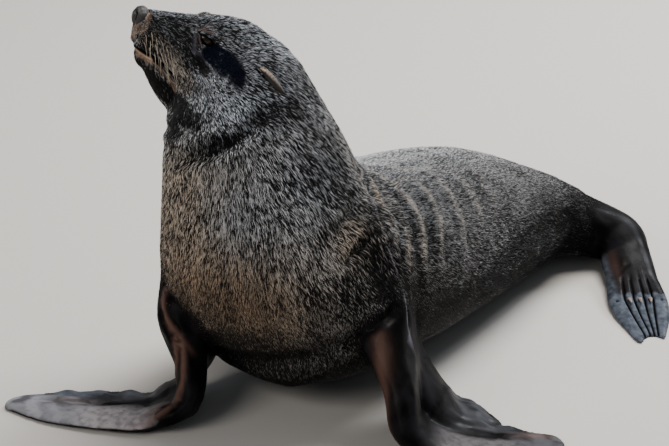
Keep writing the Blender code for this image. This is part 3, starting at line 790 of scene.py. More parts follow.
# ---- what covers each part: hair length in metres, share of bare skin, share of pale tips, warmth of the
# brown, and how far the hair under the tips is of one soft tone
coverPlan = {
    "head": (0.0085, 0.0, 0.39, 0.17, 0.05),
    "lower_jaw": (0.006, 0.0, 0.24, 0.5, 0.15),
    "neck": (0.0112, 0.0, 0.5, 0.42, 0.12),
    "chest": (0.01, 0.0, 0.47, 0.56, 0.28),
    "trunk": (0.0078, 0.0, 0.6, 0.36, 0.92),
    "hips": (0.0072, 0.0, 0.52, 0.4, 0.9),
    "tail": (0.006, 0.0, 0.25, 0.6, 0.6),
    "forearm": (0.006, 0.0, 0.25, 0.4, 0.5),
    "shank": (0.006, 0.0, 0.2, 0.4, 0.5),
    "foreflipper": (0.004, 1.0, 0.1, 0.6, 0.0),
    "hind_flipper": (0.004, 1.0, 0.1, 0.3, 0.0),
}
coverWords = ("hair", "bare", "grey", "warm", "even")
coverCalm = 60  # rounds in which the covers of neighbouring parts run into each other
# what the markings say of the hair or of the bare skin, each from 0 to 1; the dark, pale, rose, ash and
# dust marks also carry painted shade, highlight and sheen in places
markWords = ("tan", "wet", "dark", "pale", "rose", "ash", "cold", "rust", "toe", "dust", "gape")


def coverOfParts():
    table = np.array([next(v for k, v in coverPlan.items() if name.startswith(k)) for name in flesh])
    columns = table[owners].T
    return {word: spreadOver(skin.data, column, coverCalm) for word, column in zip(coverWords, columns)}


armPlan = {
    # each foreflipper: wrist, tip, the way its leading edge faces
    "left": ((0.197, -0.066, 0.03), (0.362, 0.082, 0.007), (0.66, -0.74, 0.04)),
    "right": ((-0.106, -0.212, 0.03), (-0.345, -0.352, 0.007), (0.55, -0.83, 0.04)),
}

patchPlan = ((0.28, 0.14, 3), (0.2, 0.05, 8))  # darker and lighter patches of the coat
dustAndSheenPlan = {"left": 0.36, "right": 1.25}  # how pale the top of each foreflipper is, with dust and painted sheen

# markings of the face by their word, drawn on either side: (strength, half width, line of (ahead, up))
faceMarks = {
    "dark": (
        (0.58, 0.015, ((0.18, 0.008), (0.158, 0.004), (0.138, 0.0), (0.126, -0.01), (0.122, -0.022))),
        (0.25, 0.012, ((0.15, 0.022), (0.12, 0.034), (0.08, 0.034))),
        (0.95, 0.0065, ((0.112, -0.01), (0.104, -0.016), (0.097, -0.02))),
        (0.9, 0.006, ((0.12, 0.012), (0.103, 0.016), (0.086, 0.012))),
        (0.9, 0.015, ((0.178, -0.074), (0.15, -0.08), (0.12, -0.086), (0.095, -0.08))),
        (0.5, 0.009, ((0.118, -0.052), (0.1, -0.048))),
        (0.6, 0.012, ((0.18, -0.012), (0.16, -0.01), (0.15, -0.036), (0.18, -0.034))),
    ),
    "wet": (
        (1.0, 0.0105, ((0.098, 0.002), (0.086, 0.005), (0.07, 0.007), (0.056, 0.003))),
        (1.0, 0.007, ((0.094, -0.002), (0.076, -0.005))),
    ),
    "rose": (
        (0.6, 0.0013, ((0.125, 0.0215), (0.115, 0.0255), (0.105, 0.027))),
        (0.3, 0.001, ((0.113, 0.029), (0.104, 0.032))),
        (0.55, 0.0013, ((0.1165, 0.0165), (0.113, 0.0075), (0.1025, 0.0042), (0.089, 0.0052))),
    ),
    "ash": (
        (0.55, 0.003, ((0.123, 0.014), (0.1205, 0.003), (0.117, -0.008))),
        (0.4, 0.0026, ((0.117, -0.006), (0.105, -0.006), (0.094, -0.011), (0.082, -0.014))),
    ),
    "pale": (
        (0.75, 0.01, ((0.17, -0.018), (0.152, -0.022), (0.134, -0.03))),
        (0.45, 0.01, ((0.15, -0.034), (0.128, -0.042), (0.112, -0.052))),
        (0.9, 0.005, ((0.196, 0.015), (0.184, 0.0155))),
    ),
    "warm": (
        (0.8, 0.02, ((0.18, -0.02), (0.15, -0.03), (0.12, -0.05))),
    ),
    "tan": (
        (1.0, 0.006, ((0.207, -0.002), (0.209, -0.016), (0.206, -0.034))),
        (0.45, 0.0035, ((0.194, 0.012), (0.193, 0.0), (0.199, -0.016))),
        (1.0, 0.005, ((0.198, -0.0515), (0.182, -0.0495), (0.168, -0.0485))),
        (0.6, 0.0028, ((0.166, -0.048), (0.145, -0.0545), (0.13, -0.062), (0.12, -0.072))),
    ),
}
# soft round markings of neck and body by their word, among them painted shade along the jaw crease and in
# the left armpit: (strength, place, reach)
bodyMarks = {
    "pale": (
        (0.55, (-0.091, -0.148, 0.493), 0.024),
        (0.65, (-0.068, -0.142, 0.492), 0.02),
        (0.35, (-0.131, -0.15, 0.49), 0.024),
        (0.45, (-0.035, -0.186, 0.385), 0.042),
        (0.3, (-0.095, -0.195, 0.385), 0.045),
        (0.45, (-0.032, -0.2, 0.318), 0.045),
        (0.25, (0.042, -0.085, 0.388), 0.03),
        (0.75, (0.075, -0.031, 0.332), 0.015),
        (0.75, (0.083, -0.055, 0.324), 0.015),
        (0.75, (0.087, -0.078, 0.314), 0.015),
        (0.7, (0.089, -0.092, 0.3), 0.015),
        (0.5, (0.088, -0.103, 0.288), 0.014),
        (0.3, (0.06, -0.08, 0.345), 0.025),
        (0.3, (-0.02, -0.11, 0.462), 0.02),
        (0.35, (-0.07, 0.25, 0.29), 0.11),
        (0.25, (-0.05, 0.4, 0.24), 0.09),
        (0.25, (0.04, 0.18, 0.26), 0.06),
    ),
    "warm": (
        (0.4, (-0.13, -0.19, 0.4), 0.07),
        (0.55, (-0.165, -0.18, 0.32), 0.07),
        (0.7, (0.086, -0.065, 0.318), 0.035),
        (0.7, (-0.09, -0.21, 0.23), 0.1),
        (0.6, (0.01, -0.2, 0.2), 0.09),
        (0.45, (-0.19, -0.18, 0.29), 0.06),
        (0.5, (0.06, 0.52, 0.1), 0.03),
    ),
    "cold": (
        (0.6, (0.035, -0.095, 0.392), 0.065),
        (0.5, (-0.02, -0.19, 0.35), 0.055),
        (0.6, (-0.07, -0.13, 0.5), 0.06),
    ),
    "dark": (
        # painted shade along the jaw crease, under the jaw and up towards the ear
        (0.8, (-0.088, -0.172, 0.446), 0.016),
        (0.8, (-0.066, -0.162, 0.457), 0.018),
        (0.8, (-0.05, -0.145, 0.465), 0.017),
        (0.8, (-0.04, -0.125, 0.48), 0.013),
        (0.6, (-0.108, -0.179, 0.434), 0.011),
        (0.5, (-0.022, -0.095, 0.484), 0.022),
        (0.4, (-0.012, -0.07, 0.5), 0.022),
        (0.8, (-0.168, -0.163, 0.45), 0.018),
        (0.35, (0.02, -0.098, 0.42), 0.035),
        (0.55, (-0.185, -0.15, 0.45), 0.026),
        # painted shade in and around the left armpit
        (0.5, (0.095, -0.11, 0.235), 0.05),
        (0.6, (0.135, -0.05, 0.235), 0.04),
        (0.3, (0.06, -0.08, 0.35), 0.05),
        (0.34, (0.055, -0.055, 0.4), 0.055),
        (0.45, (-0.05, -0.19, 0.11), 0.06),
        (0.2, (-0.05, -0.21, 0.195), 0.075),
        (0.34, (0.105, -0.06, 0.275), 0.045),
        (0.35, (0.09, -0.03, 0.35), 0.035),
        (0.6, (0.125, 0.03, 0.2), 0.06),
        (0.75, (0.11, 0.11, 0.13), 0.085),
        (0.65, (0.09, 0.26, 0.09), 0.11),
        (0.9, (0.073, 0.38, 0.095), 0.075),
        (0.7, (0.065, 0.45, 0.115), 0.06),
        (0.5, (0.05, 0.5, 0.07), 0.06),
        (0.25, (0.04, 0.56, 0.11), 0.04),
        (0.7, (-0.07, 0.6, 0.06), 0.09),
    ),
    "rust": (
        (0.6, (-0.14, -0.2, 0.222), 0.075),
        (0.65, (-0.05, -0.212, 0.222), 0.08),
        (0.55, (0.02, -0.2, 0.215), 0.075),
    ),
}
# folds over the right forearm and wrist, from the elbow down
wristRidges = (
    ((-0.125, -0.219, 0.139), (-0.119, -0.225, 0.127), (-0.116, -0.229, 0.105), (-0.118, -0.232, 0.08),
     (-0.126, -0.23, 0.055), (-0.124, -0.25, 0.04), (-0.14, -0.285, 0.025), (-0.175, -0.312, 0.02)),
    ((-0.11, -0.219, 0.132), (-0.101, -0.228, 0.11), (-0.094, -0.238, 0.086), (-0.097, -0.246, 0.062),
     (-0.108, -0.262, 0.041), (-0.124, -0.291, 0.022), (-0.165, -0.325, 0.017)),
    ((-0.089, -0.205, 0.109), (-0.096, -0.214, 0.123), (-0.115, -0.216, 0.138), (-0.138, -0.213, 0.149),
     (-0.154, -0.209, 0.164), (-0.168, -0.199, 0.18), (-0.168, -0.192, 0.195))[::-1],
)
# the leading edge of the left arm, rose-toned with a painted highlight
leftEdge = ((0.16, -0.09, 0.18), (0.175, -0.103, 0.135), (0.19, -0.106, 0.09), (0.214, -0.112, 0.05),
            (0.255, -0.098, 0.03), (0.31, -0.045, 0.02))


def rowsOf(marks):
    return [(word, *row) for word, rows in marks.items() for row in rows]


def addMark(cover, word, amount):
    cover[word] = np.clip(cover[word] + amount, 0, 1)


def leastMark(cover, word, amount):
    cover[word] = np.maximum(cover[word], amount)


def refineCover(cover):
    points, normals = pointsOf(skin.data), normalsOf(skin.data)
    onHead = spreadOver(skin.data, ease(0.0, 0.05, profileOf(points)[0][:, 0]) * on("head", "lower_jaw"), 6)
    for word in markWords:
        cover[word] = np.zeros(len(points))
    markCoat(cover, points, normals, onHead)
    bareLimbs(cover, points - bodyZero, onHead)
    markEdge(cover, points - bodyZero, normals)
    markOpenings(cover, points)
    markFeet(cover, points, normals)
    markArms(cover, points, normals)
    return cover


def markCoat(cover, points, normals, onHead):
    body = points - bodyZero
    flat, side = profileOf(points)
    ahead, up = flat.T
    # hair shortens towards the nose
    short = np.interp(ahead, (0.0, 0.05, 0.1, 0.15, 0.2), (0.01, 0.0088, 0.0066, 0.0058, 0.003))
    cover["hair"] = cover["hair"] + onHead * (short - cover["hair"])
    low = ease(0.27, 0.19, body[:, 2]) * on("chest", "neck")
    cover["hair"] = spreadOver(skin.data, cover["hair"] - 0.0035 * low, 14)
    near = onHead * (side > 0.008)
    for word, strength, wide, line in rowsOf(faceMarks):
        gap, _ = awayFrom(flat, line)
        leastMark(cover, word, strength * ease(1.25 * wide, 0.75 * wide, gap) * near)
    for word, strength, place, reach in rowsOf(bodyMarks):
        addMark(cover, word, strength * bell(np.linalg.norm(body - place, axis=1), reach))
    roof = ease(0.09, 0.14, ahead) * ease(0.012, 0.022, up) * ease(0.19, 0.175, ahead)
    addMark(cover, "dark", 0.15 * roof * onHead)
    addMark(cover, "pale", 0.3 * ease(0.03, 0.05, up) * ease(0.07, 0.03, ahead) * on("head"))
    # the underside is darker: partly darker fur, partly painted shade on the low and downward-facing parts
    under = ease(0.17, 0.09, body[:, 2]) * (1 - onHead)
    belly = ease(-0.2, -0.7, normals[:, 2]) * (1 - onHead)
    addMark(cover, "dark", 0.55 * under + 0.5 * belly)
    addMark(cover, "dark", waves(points, *patchPlan) * (1 - 0.6 * onHead))
    cover["grey"] = np.clip(cover["grey"] * (0.8 + 0.4 * roughly(points, 0.05, 5)), 0, 1)


def bareLimbs(cover, body, onHead):
    # bare leather up to the elbows and the heels
    left, right = on("forearm_left"), on("forearm_right")
    cover["bare"] = np.where(left, ease(0.225, 0.18, body[:, 2]), cover["bare"])
    cover["bare"] = np.where(right, ease(0.2, 0.165, body[:, 2]), cover["bare"])
    for word, (heel, _, _) in footPlan.items():
        gap = np.linalg.norm(body - np.array([*heel, 0.06]), axis=1)
        cover["bare"] = np.where(on(f"shank_{word}"), ease(0.074, 0.052, gap), cover["bare"])
    cover["bare"] = spreadOver(skin.data, cover["bare"], 8)
    # the fur shortens and darkens towards bare leather, and lies close over the wet patch
    near = spreadOver(skin.data, cover["bare"], 45) * (1 - onHead)
    cover["hair"] *= (1 - 0.55 * ease(0.0, 0.35, near))
    leastMark(cover, "dark", 0.85 * ease(0.02, 0.3, near))
    cover["hair"] *= (1 - 0.45 * spreadOver(skin.data, cover["wet"], 6))


def markOpenings(cover, points):
    # bare skin and shade at the nose, the lips and the lids
    flat, side = profileOf(points)
    ahead, up = flat.T
    onFace = isFace(points)
    noseGap = np.linalg.norm(inHead(points) - np.array(headPlan["nose"]), axis=1)
    leastMark(cover, "bare", ease(0.0195, 0.0165, noseGap) * onFace)
    lipGap, lipShare = awayFrom(flat, mouthPlan["line"])
    lips = ease(0.0032, 0.0016, lipGap) * onFace * ease(1.0, 0.85, lipShare)
    below = up < np.interp(ahead, (0.138, 0.165, 0.21), (-0.049, -0.041, -0.043))
    lowerLip = ease(0.006, 0.004, lipGap) * below
    leastMark(cover, "bare", np.maximum(lips, lowerLip * onFace * ease(0.14, 0.16, ahead)))
    eyeEdge = lidPlace(inHead(points))[1]
    leastMark(cover, "bare", ease(0.0032, 0.0018, eyeEdge) * (side > 0.02) * onFace)
    leastMark(cover, "gape", bell(lipGap, 0.0018) * onFace * ease(1.0, 0.9, lipShare))
    leastMark(cover, "gape", ease(0.0162, 0.0148, noseGap) * onFace)


def markEdge(cover, body, normals):
    # painted shade on the trunk where it goes in behind the left arm, and a darker band on the arm just
    # before its edge
    behind = behindArm(body)
    side = ease(0.0, 0.2, normals[:, 0])
    left = side * ease(0.075, 0.1, body[:, 2]) * ease(0.352, 0.33, body[:, 2])
    left = left * on("trunk", "chest", "neck", "forearm_left")
    cover["hair"] *= (1 - 0.48 * side * bell(behind, 0.009) * ease(0.36, 0.33, body[:, 2]))
    addMark(cover, "dark", 1.0 * left * bell(behind - 0.0058, 0.0038))
    addMark(cover, "dark", 0.35 * left * ease(-0.045, -0.02, behind) * ease(-0.003, -0.007, behind))
    # a painted rim highlight along the arm's rear edge, pale and ash-grey, which takes away the painted
    # shade under it
    rim = left * bell(behind + 0.0008, 0.0024) * ease(0.13, 0.17, body[:, 2])
    addMark(cover, "pale", rim)
    leastMark(cover, "ash", rim)
    cover["dark"] = cover["dark"] * (1 - rim)
    # painted highlight on the crests behind it, paler and warmer, and painted shade in the hollows beside
    # them, darker and colder
    flank = body[:, 1:]
    trunk = side * on("trunk", "chest") * ease(0.006, 0.012, behind)
    for number, line in enumerate(crestPlan["lines"]):
        gap, along = awayFrom(flank, line)
        strength = (1 - crestPlan["lower"] * number) * ease(0.85, 0.35, along) * trunk
        ahead = np.where(body[:, 1] < np.interp(body[:, 2], *np.array(line)[::-1, ::-1].T), 1.0, 0.35)
        crest = strength * bell(gap, 0.0058)
        addMark(cover, "pale", 0.6 * crest)
        addMark(cover, "warm", 0.4 * crest)
        hollow = strength * ahead * bell(gap - 0.0135, 0.0058)
        addMark(cover, "dark", 0.55 * hollow - 0.5 * crest)
        addMark(cover, "cold", 0.6 * hollow)


def markFeet(cover, points, normals):
    # pale toes and margins, painted shade in the clefts and pits, and dust with painted sheen along the
    # digits
    for word in footPlan:
        run, side = onFoot(points, word)
        there = on(f"hind_flipper_{word}")
        across, _ = acrossToes(run, side)
        toes = ease(nailRow - 0.013, nailRow - 0.008, run + 0.004 * np.sin(side * 300))
        margin = ease(-0.028, -0.04, side) * ease(0.02, 0.06, run) * 0.6
        leastMark(cover, "toe", np.maximum(toes, margin) * there)
        leastMark(cover, "rose", 0.16 * bell(side + 0.026, 0.009) * bell(run - 0.075, 0.04) * there)
        crack = ease(0.0021, 0.001, cleftGap(run, side)) * ease(0.12, 0.155, run)
        rim = ease(0.5, 0.72, across) * ease(0.92, 0.8, across) * ease(0.15, 0.17, run)
        leastMark(cover, "gape", crack * there * (normals[:, 2] > 0.2))
        leastMark(cover, "gape", bell(pitGap(run, side), 0.0022) * there)
        leastMark(cover, "dust", 0.5 * rim * there)


def markArms(cover, points, normals):
    # rose tone with painted highlight along the folds and edges, and dust with painted sheen on the
    # upward-facing tops of the blades
    body = points - bodyZero
    arms = on("forearm", "foreflipper")
    # rose tone with painted highlight along the ridges of the right wrist and the left arm's leading edge
    for line in wristRidges:
        gap, along = awayFrom(body, line)
        mark = 0.75 * bell(gap, 0.0045) * ease(1.0, 0.6, along)
        leastMark(cover, "rose", mark * arms)
    gap, along = awayFrom(body, leftEdge)
    leastMark(cover, "rose", 0.55 * bell(gap, 0.013) * arms * ease(1.0, 0.5, along))
    for word in armPlan:
        along, front = flipperPlace(points, word)
        there = on(f"foreflipper_{word}")
        hollow = bell(np.hypot((along - 0.085) / 2.6, front + 0.016), 0.022)
        edge = ease(-0.002, 0.014, front) * ease(0.02, 0.07, along)
        hem = ease(-0.012, -0.034, front) * ease(0.04, 0.1, along)
        far = ease(0.13, 0.19, along)
        patchy = 0.3 + 0.7 * ease(0.3, 0.6, roughly(points, 0.04, 31))
        dust = np.maximum(0.75 * edge, np.maximum(hem, far) * patchy)
        # only on faces turned up, and kept out of the hollow behind the leading edge, which stays dark as
        # painted shade
        dust = dust * ease(0.0, 0.6, normals[:, 2]) * (1 - 0.95 * hollow) * dustAndSheenPlan[word]
        leastMark(cover, "dust", dust * there)
        addMark(cover, "cold", (0.8 * hem + 0.5 * far) * there)
        streak = bell(np.hypot((along - 0.19) / 3.0, front + 0.012), 0.0075)
        leastMark(cover, "rose", 0.45 * streak * there)


def lidPlace(places):
    # the middle of that side's eyeball, and how far each place lies outside the opening and over its middle
    ahead = -places[:, 1] - eyePlan["ahead"]
    up = places[:, 2] - eyePlan["height"]
    turn = eyePlan["tilt"]
    along = ahead * math.cos(turn) + up * math.sin(turn)
    across = up * math.cos(turn) - ahead * math.sin(turn)
    rim = 1 - np.abs(along / eyePlan["halfLong"]) ** 2.2
    reach = np.where(across > 0, eyePlan["upper"], eyePlan["lower"])
    edge = np.abs(across) - reach * rim
    eye = headPlan["eye"]
    middle = np.column_stack([np.sign(places[:, 0]) * eye[0], np.full(len(places), eye[1]),
                              np.full(len(places), eye[2])])
    return middle, edge, across


def shapeLids(points, _):
    places = inHead(points)
    middle, edge, across = lidPlace(places)
    away = places - middle
    gap = np.linalg.norm(away, axis=1)
    near = (np.abs(places[:, 0]) > 0.018) & (gap < 0.034) & isFace(points)
    ball = eyePlan["radius"]
    follow = ease(0.014, 0.003, edge)
    fold = eyePlan["fold"] * bell(edge - 0.0068, 0.0015) * (edge > 0) * np.where(across > 0, 1.3, 0.8)
    lid = ball + eyePlan["lid"] + eyePlan["rim"] * bell(edge - 0.0012, 0.0014) + 0.0006 * (across > 0)
    outer = np.maximum(gap + (lid - gap) * follow - fold, ball + 0.0012)
    inner = np.full(len(gap), ball - 0.0035)
    parted = ease(0.0004, -0.0006, edge)
    wanted = outer + (inner - outer) * parted
    places[near] = (middle + away / gap[:, None] * wanted[:, None])[near]
    return fromHead(places)


def shapeMouth(points, normals):
    flat, _ = profileOf(points)
    gap, along = awayFrom(flat, mouthPlan["line"])
    there = isFace(points) & (flat[:, 0] > 0.108)
    fade = ease(1.0, 0.85, along) * there
    crease = -mouthPlan["depth"] * bell(gap, mouthPlan["width"])
    lips = mouthPlan["lip"] * bell(gap - 0.005, 0.003)
    onPad = bell(np.hypot(flat[:, 0] - 0.155, flat[:, 1] + 0.022), 0.016)
    pad = mouthPlan["pad"] * np.sin(flat[:, 0] * 900) * onPad
    return points + normals * ((crease + lips) * fade + pad * there)[:, None]


nosePlan = {"half": (0.016, 0.0125, 0.016)}


def seatNose(points, _):
    # the skin draws in under the nose pad, which is a piece of its own
    places = inHead(points)
    away = places - np.array(headPlan["nose"])
    share = np.linalg.norm(away / np.array(nosePlan["half"]), axis=1)
    inside = (share < 1.25) & (places[:, 1] < -0.19)
    pull = np.where(inside, 0.8 + 0.45 * ease(1.05, 1.25, share), 1)
    pulled = np.where(inside & (share > 0.8), pull / np.maximum(share, 0.8), 1)
    pulled = np.where(share > 1.05, 1 + (pulled - 1) * ease(1.25, 1.05, share), pulled)
    places = np.array(headPlan["nose"]) + away * pulled[:, None]
    return fromHead(places)


def flipperPlace(points, name):
    # how far along the blade from the wrist, and how far towards its leading edge
    wrist, tip, lead = (np.array(v) for v in armPlan[name])
    way = (tip - wrist) / np.linalg.norm(tip - wrist)
    front = lead - way * (lead @ way)
    front /= np.linalg.norm(front)
    away = points - bodyZero - wrist
    return away @ way, away @ front


bladePlan = {
    "hollow": 0.004,  # depth behind the full leading edge
    "ray": 0.0012,  # height
    "rayEvery": 0.027,
    "wave": 0.0026,  # height of the waves of the hem
    "waveEvery": 0.048,
    "wrinkle": 0.00035,  # fine ones along the leading edge
    "wrinkleEvery": 0.0045,
    "wristRidge": 0.0022,
    "elbowWrinkle": 0.0012,
    "elbow": ((0.158, -0.08, 0.196), (0.166, -0.09, 0.15)),
}


def ridgeFlippers(points, normals):
    # each blade has a hollow behind its leading edge, faint rays and a hem that waves
    for name in armPlan:
        there = on(f"foreflipper_{name}")
        along, front = flipperPlace(points, name)
        upper = ease(0.1, 0.6, normals[:, 2]) * there
        hollow = -bladePlan["hollow"] * bell(np.hypot((along - 0.08) / 2.4, front + 0.014), 0.024)
        rays = np.cos((front + 0.08 * along) * 2 * math.pi / bladePlan["rayEvery"])
        rays = rays * ease(0.012, -0.004, front)
        tall = bladePlan["ray"] * ease(0.05, 0.12, along) * ease(0.3, 0.22, along)
        wave = bladePlan["wave"] * np.sin(along * 2 * math.pi / bladePlan["waveEvery"])
        wave = wave * ease(-0.025, -0.055, front) * (along > 0.05)
        move = upper * (hollow + tall * rays + wave)
        both = there | on(f"forearm_{name}")
        band = bell(front - 0.03, 0.022) * ease(-0.02, 0.03, along)
        fine = bladePlan["wrinkle"] * np.sin(along * 2 * math.pi / bladePlan["wrinkleEvery"]) * band * both
        points = points + normals * (move + fine)[:, None]
    body = points - bodyZero
    arms = on("forearm_right", "foreflipper_right")
    for line in wristRidges:
        gap, along = awayFrom(body, line)
        ridge = bladePlan["wristRidge"] * bell(gap, 0.0042) * ease(1.0, 0.6, along) * arms
        points = points + normals * ridge[:, None]
    # small wrinkles in the front of the left elbow
    gap, _ = awayFrom(body, bladePlan["elbow"])
    wrinkle = bladePlan["elbowWrinkle"] * np.sin(body @ np.array([150.0, 120.0, 760.0])) * bell(gap, 0.014)
    return points + normals * (wrinkle * on("forearm_left"))[:, None]


def drawIn(points, normals, cover):
    # the skin lies under the coat by the coat's depth, and stays on the floor
    depth = skinPlan["sink"] * cover["hair"] * (1 - cover["bare"])
    depth = np.minimum(depth, np.clip(points[:, 2] - 0.001, 0, 1) * 0.5)
    return points - normals * depth[:, None]


def shapeSkin():
    cover = refineCover(coverOfParts())
    mesh = skin.data
    movePoints(mesh, drawIn(pointsOf(mesh), normalsOf(mesh), cover))
    for shape in (ridgeFlippers, carveToes, shapeMouth, shapeLids, seatNose):
        movePoints(mesh, shape(pointsOf(mesh), normalsOf(mesh)))
    points = pointsOf(mesh)
    points[:, 2] = np.maximum(points[:, 2], skinPlan["offFloor"])
    movePoints(mesh, points)
    mesh.shade_smooth()
    return cover


cover = shapeSkin()
print("skin relief")


# ---- the lie of the coat, from listed guides: (place, way the hair points)

# in the level head; those off its middle hold for either side
headGuides = [
    ((0.0, -0.19, 0.012), (0.0, 1.0, 0.1)),
    ((0.034, -0.175, -0.015), (0.25, 0.8, -0.5)),
    ((0.03, -0.105, 0.045), (0.15, 1.0, 0.1)),
    ((0.05, -0.11, -0.01), (0.3, 0.9, -0.35)),
    ((0.0, -0.04, 0.055), (0.0, 1.0, -0.15)),
    ((0.07, -0.06, -0.04), (0.25, 0.9, -0.55)),
    ((0.08, -0.01, 0.01), (0.15, 1.0, -0.4)),
    ((0.03, -0.15, -0.07), (0.1, 0.7, -0.7)),
    ((0.0, -0.13, -0.095), (0.0, 0.6, -0.8)),
]
bodyGuides = [
    ((-0.11, 0.04, 0.43), (0.0, 0.45, -0.9)),
    ((-0.21, -0.13, 0.38), (0.02, -0.1, -1.0)),
    ((-0.1, -0.18, 0.36), (0.05, -0.15, -1.0)),
    ((0.05, -0.06, 0.36), (0.2, 0.2, -0.95)),
    ((-0.25, -0.03, 0.34), (-0.15, 0.2, -0.95)),
    ((-0.09, -0.24, 0.24), (0.05, 0.05, -1.0)),
    ((0.12, -0.05, 0.24), (0.25, 0.3, -0.9)),
    ((-0.25, -0.05, 0.22), (-0.1, 0.2, -0.95)),
    ((-0.08, -0.18, 0.08), (0.05, 0.5, -0.85)),
    ((-0.08, 0.15, 0.3), (0.0, 1.0, -0.3)),
    ((0.08, 0.13, 0.2), (0.05, 0.75, -0.65)),
    ((-0.24, 0.13, 0.2), (-0.05, 0.75, -0.65)),
    ((-0.08, 0.32, 0.27), (0.0, 1.0, -0.12)),
    ((0.1, 0.32, 0.12), (0.0, 0.9, -0.4)),
    ((-0.25, 0.32, 0.12), (0.0, 0.9, -0.4)),
    ((-0.07, 0.6, 0.14), (0.0, 1.0, -0.25)),
    ((0.03, 0.62, 0.07), (0.7, 0.6, -0.3)),
    ((-0.17, 0.62, 0.07), (-0.7, 0.6, -0.3)),
    ((0.18, -0.06, 0.1), (0.35, -0.05, -0.95)),
    ((-0.13, -0.19, 0.1), (-0.1, -0.3, -1.0)),
]


guideReach = 0.012  # a guide's own surroundings, where its pull grows no stronger
swirlPlan = ((0.3, 0.05, 23), (0.24, 0.018, 29))  # turns off the lie, in radians


def lieOfCoat(points, normals):
    places, ways = [], []
    for place, way in headGuides:
        for side in (1, -1) if place[0] else (1,):
            hand = np.array([side, 1, 1])
            places.append(fromHead(place * hand))
            ways.append(headAxes @ (way * hand))
    for place, way in bodyGuides:
        places.append(onBody(*place))
        ways.append(np.array(way))
    total = np.zeros_like(points)
    for place, way in zip(places, ways):
        gap = np.linalg.norm(points - place, axis=1)
        total += (way / np.linalg.norm(way)) / (gap[:, None] + guideReach) ** 3
    total -= normals * np.sum(total * normals, axis=1)[:, None]
    total /= np.linalg.norm(total, axis=1)[:, None] + 1e-9
    swirl = waves(points, *swirlPlan)
    across = np.cross(normals, total)
    return total * np.cos(swirl)[:, None] + across * np.sin(swirl)[:, None]


# the pieces of the coat
zonePlan = ("face", "crown", "neck", "breast", "shoulder_left", "shoulder_right", "flanks", "loin", "rump")


def zonesOf(points):
    # which piece of coat covers each point; a later line holds over those before it
    body = points - bodyZero
    trunk, chest, head = on("trunk"), on("chest", "forearm", "foreflipper"), on("head", "lower_jaw")
    places = {
        "loin": trunk,
        "flanks": trunk & (body[:, 1] < np.median(body[trunk, 1])),
        "shoulder_right": chest,
        "shoulder_left": chest & (body[:, 0] > -0.07),
        "breast": chest & (body[:, 1] < -0.1),
        "neck": on("neck"),
        "crown": head,
        "face": head & (inHead(points)[:, 1] < -0.045),
    }
    zone = np.full(len(points), zonePlan.index("rump"))
    for name, there in places.items():
        zone[there] = zonePlan.index(name)
    return zone


# each ear in the level head: root, tip; a leaf rolled lengthwise, open to the outside
earPlan = {
    "left": ((0.09, -0.026, 0.018), (0.123, 0.014, 0.01)),
    "right": ((-0.072, -0.026, 0.015), (-0.101, 0.013, 0.008)),
    "widths": (0.0075, 0.011, 0.012, 0.011, 0.009, 0.006, 0.0018),
    "wall": 0.0022,
    "roll": 232.0,  # degrees of the turn that the leaf makes
    "open": 116.0,  # where the middle of that turn lies
    "curl": 0.22,  # how much closer the leaf's end comes in
    "flat": 0.8,
    "bow": 0.003,
    "rings": 25,
    "around": 26,
}


def markSkin():
    mesh = skin.data
    points, normals = pointsOf(mesh), normalsOf(mesh)
    keep(mesh, "lie", lieOfCoat(points, normals), "FLOAT_VECTOR")
    for word, values in cover.items():
        keep(mesh, word, values)
    under = ease(0.0, -0.4, normals[:, 2]) * ease(0.007, 0.0045, points[:, 2])
    growth = np.clip(1 - 1.6 * cover["bare"], 0, 1) * (1 - under) * ease(0.0025, 0.004, points[:, 2])
    for line in (earPlan["left"], earPlan["right"]):
        growth = growth * ease(0.005, 0.0085, awayFrom(inHead(points), line)[0])
    growth = growth * np.where(normals[:, 2] < 0.3, ease(0.004, 0.0095, points[:, 2]), 1)
    keep(mesh, "growth", growth)
    zones = zonesOf(points)
    firsts = np.array([p.vertices[0] for p in mesh.polygons])
    keep(mesh, "zone", zones[firsts], "INT", "FACE")
    return growth, zones[firsts]


growth, faceZones = markSkin()


def unwrapSkin():
    bpy.context.view_layer.objects.active = skin
    skin.select_set(True)
    skin.data.uv_layers.new(name="OFBake")
    bpy.ops.object.mode_set(mode="EDIT")
    bpy.ops.mesh.select_all(action="SELECT")
    bpy.ops.uv.smart_project(angle_limit=math.radians(66), island_margin=0.002)
    bpy.ops.object.mode_set(mode="OBJECT")
    skin.select_set(False)


unwrapSkin()
print("skin marked and unwrapped")


# ---- finishes of skin and coat, which share their markings

coatTones = {
    "root": (0.003, 0.0026, 0.0026),
    "brown": (0.023, 0.015, 0.01),
    "slate": (0.0105, 0.012, 0.0165),
    "softWarm": (0.068, 0.057, 0.049),
    "softCold": (0.052, 0.055, 0.064),
    "rust": (0.075, 0.038, 0.019),
    "warmTip": (0.82, 0.66, 0.49),
    "coldTip": (0.7, 0.78, 0.88),
    "rustTip": (0.42, 0.27, 0.16),
    "tan": (0.6, 0.4, 0.27),
    "wet": (0.0028, 0.005, 0.0125),
    # also the painted highlight along the arm's ridges and leading edge
    "rose": (0.34, 0.21, 0.18),
    # also the painted rim highlight along the left arm's rear edge
    "ash": (0.17, 0.16, 0.2),
}
leatherTones = {
    "black": (0.0024, 0.002, 0.002),
    "worn": (0.0115, 0.0105, 0.013),
    # pale dust with painted sheen on the tops of the blades, bluish towards the hem
    "dust": (0.4, 0.37, 0.38),
    "hem": (0.19, 0.215, 0.255),
    "toe": (0.088, 0.1, 0.124),
    "toeDark": (0.034, 0.041, 0.054),
    # also the painted highlight along the arm's ridges and leading edge
    "rose": (0.2, 0.11, 0.085),
    "lip": (0.52, 0.33, 0.26),
}


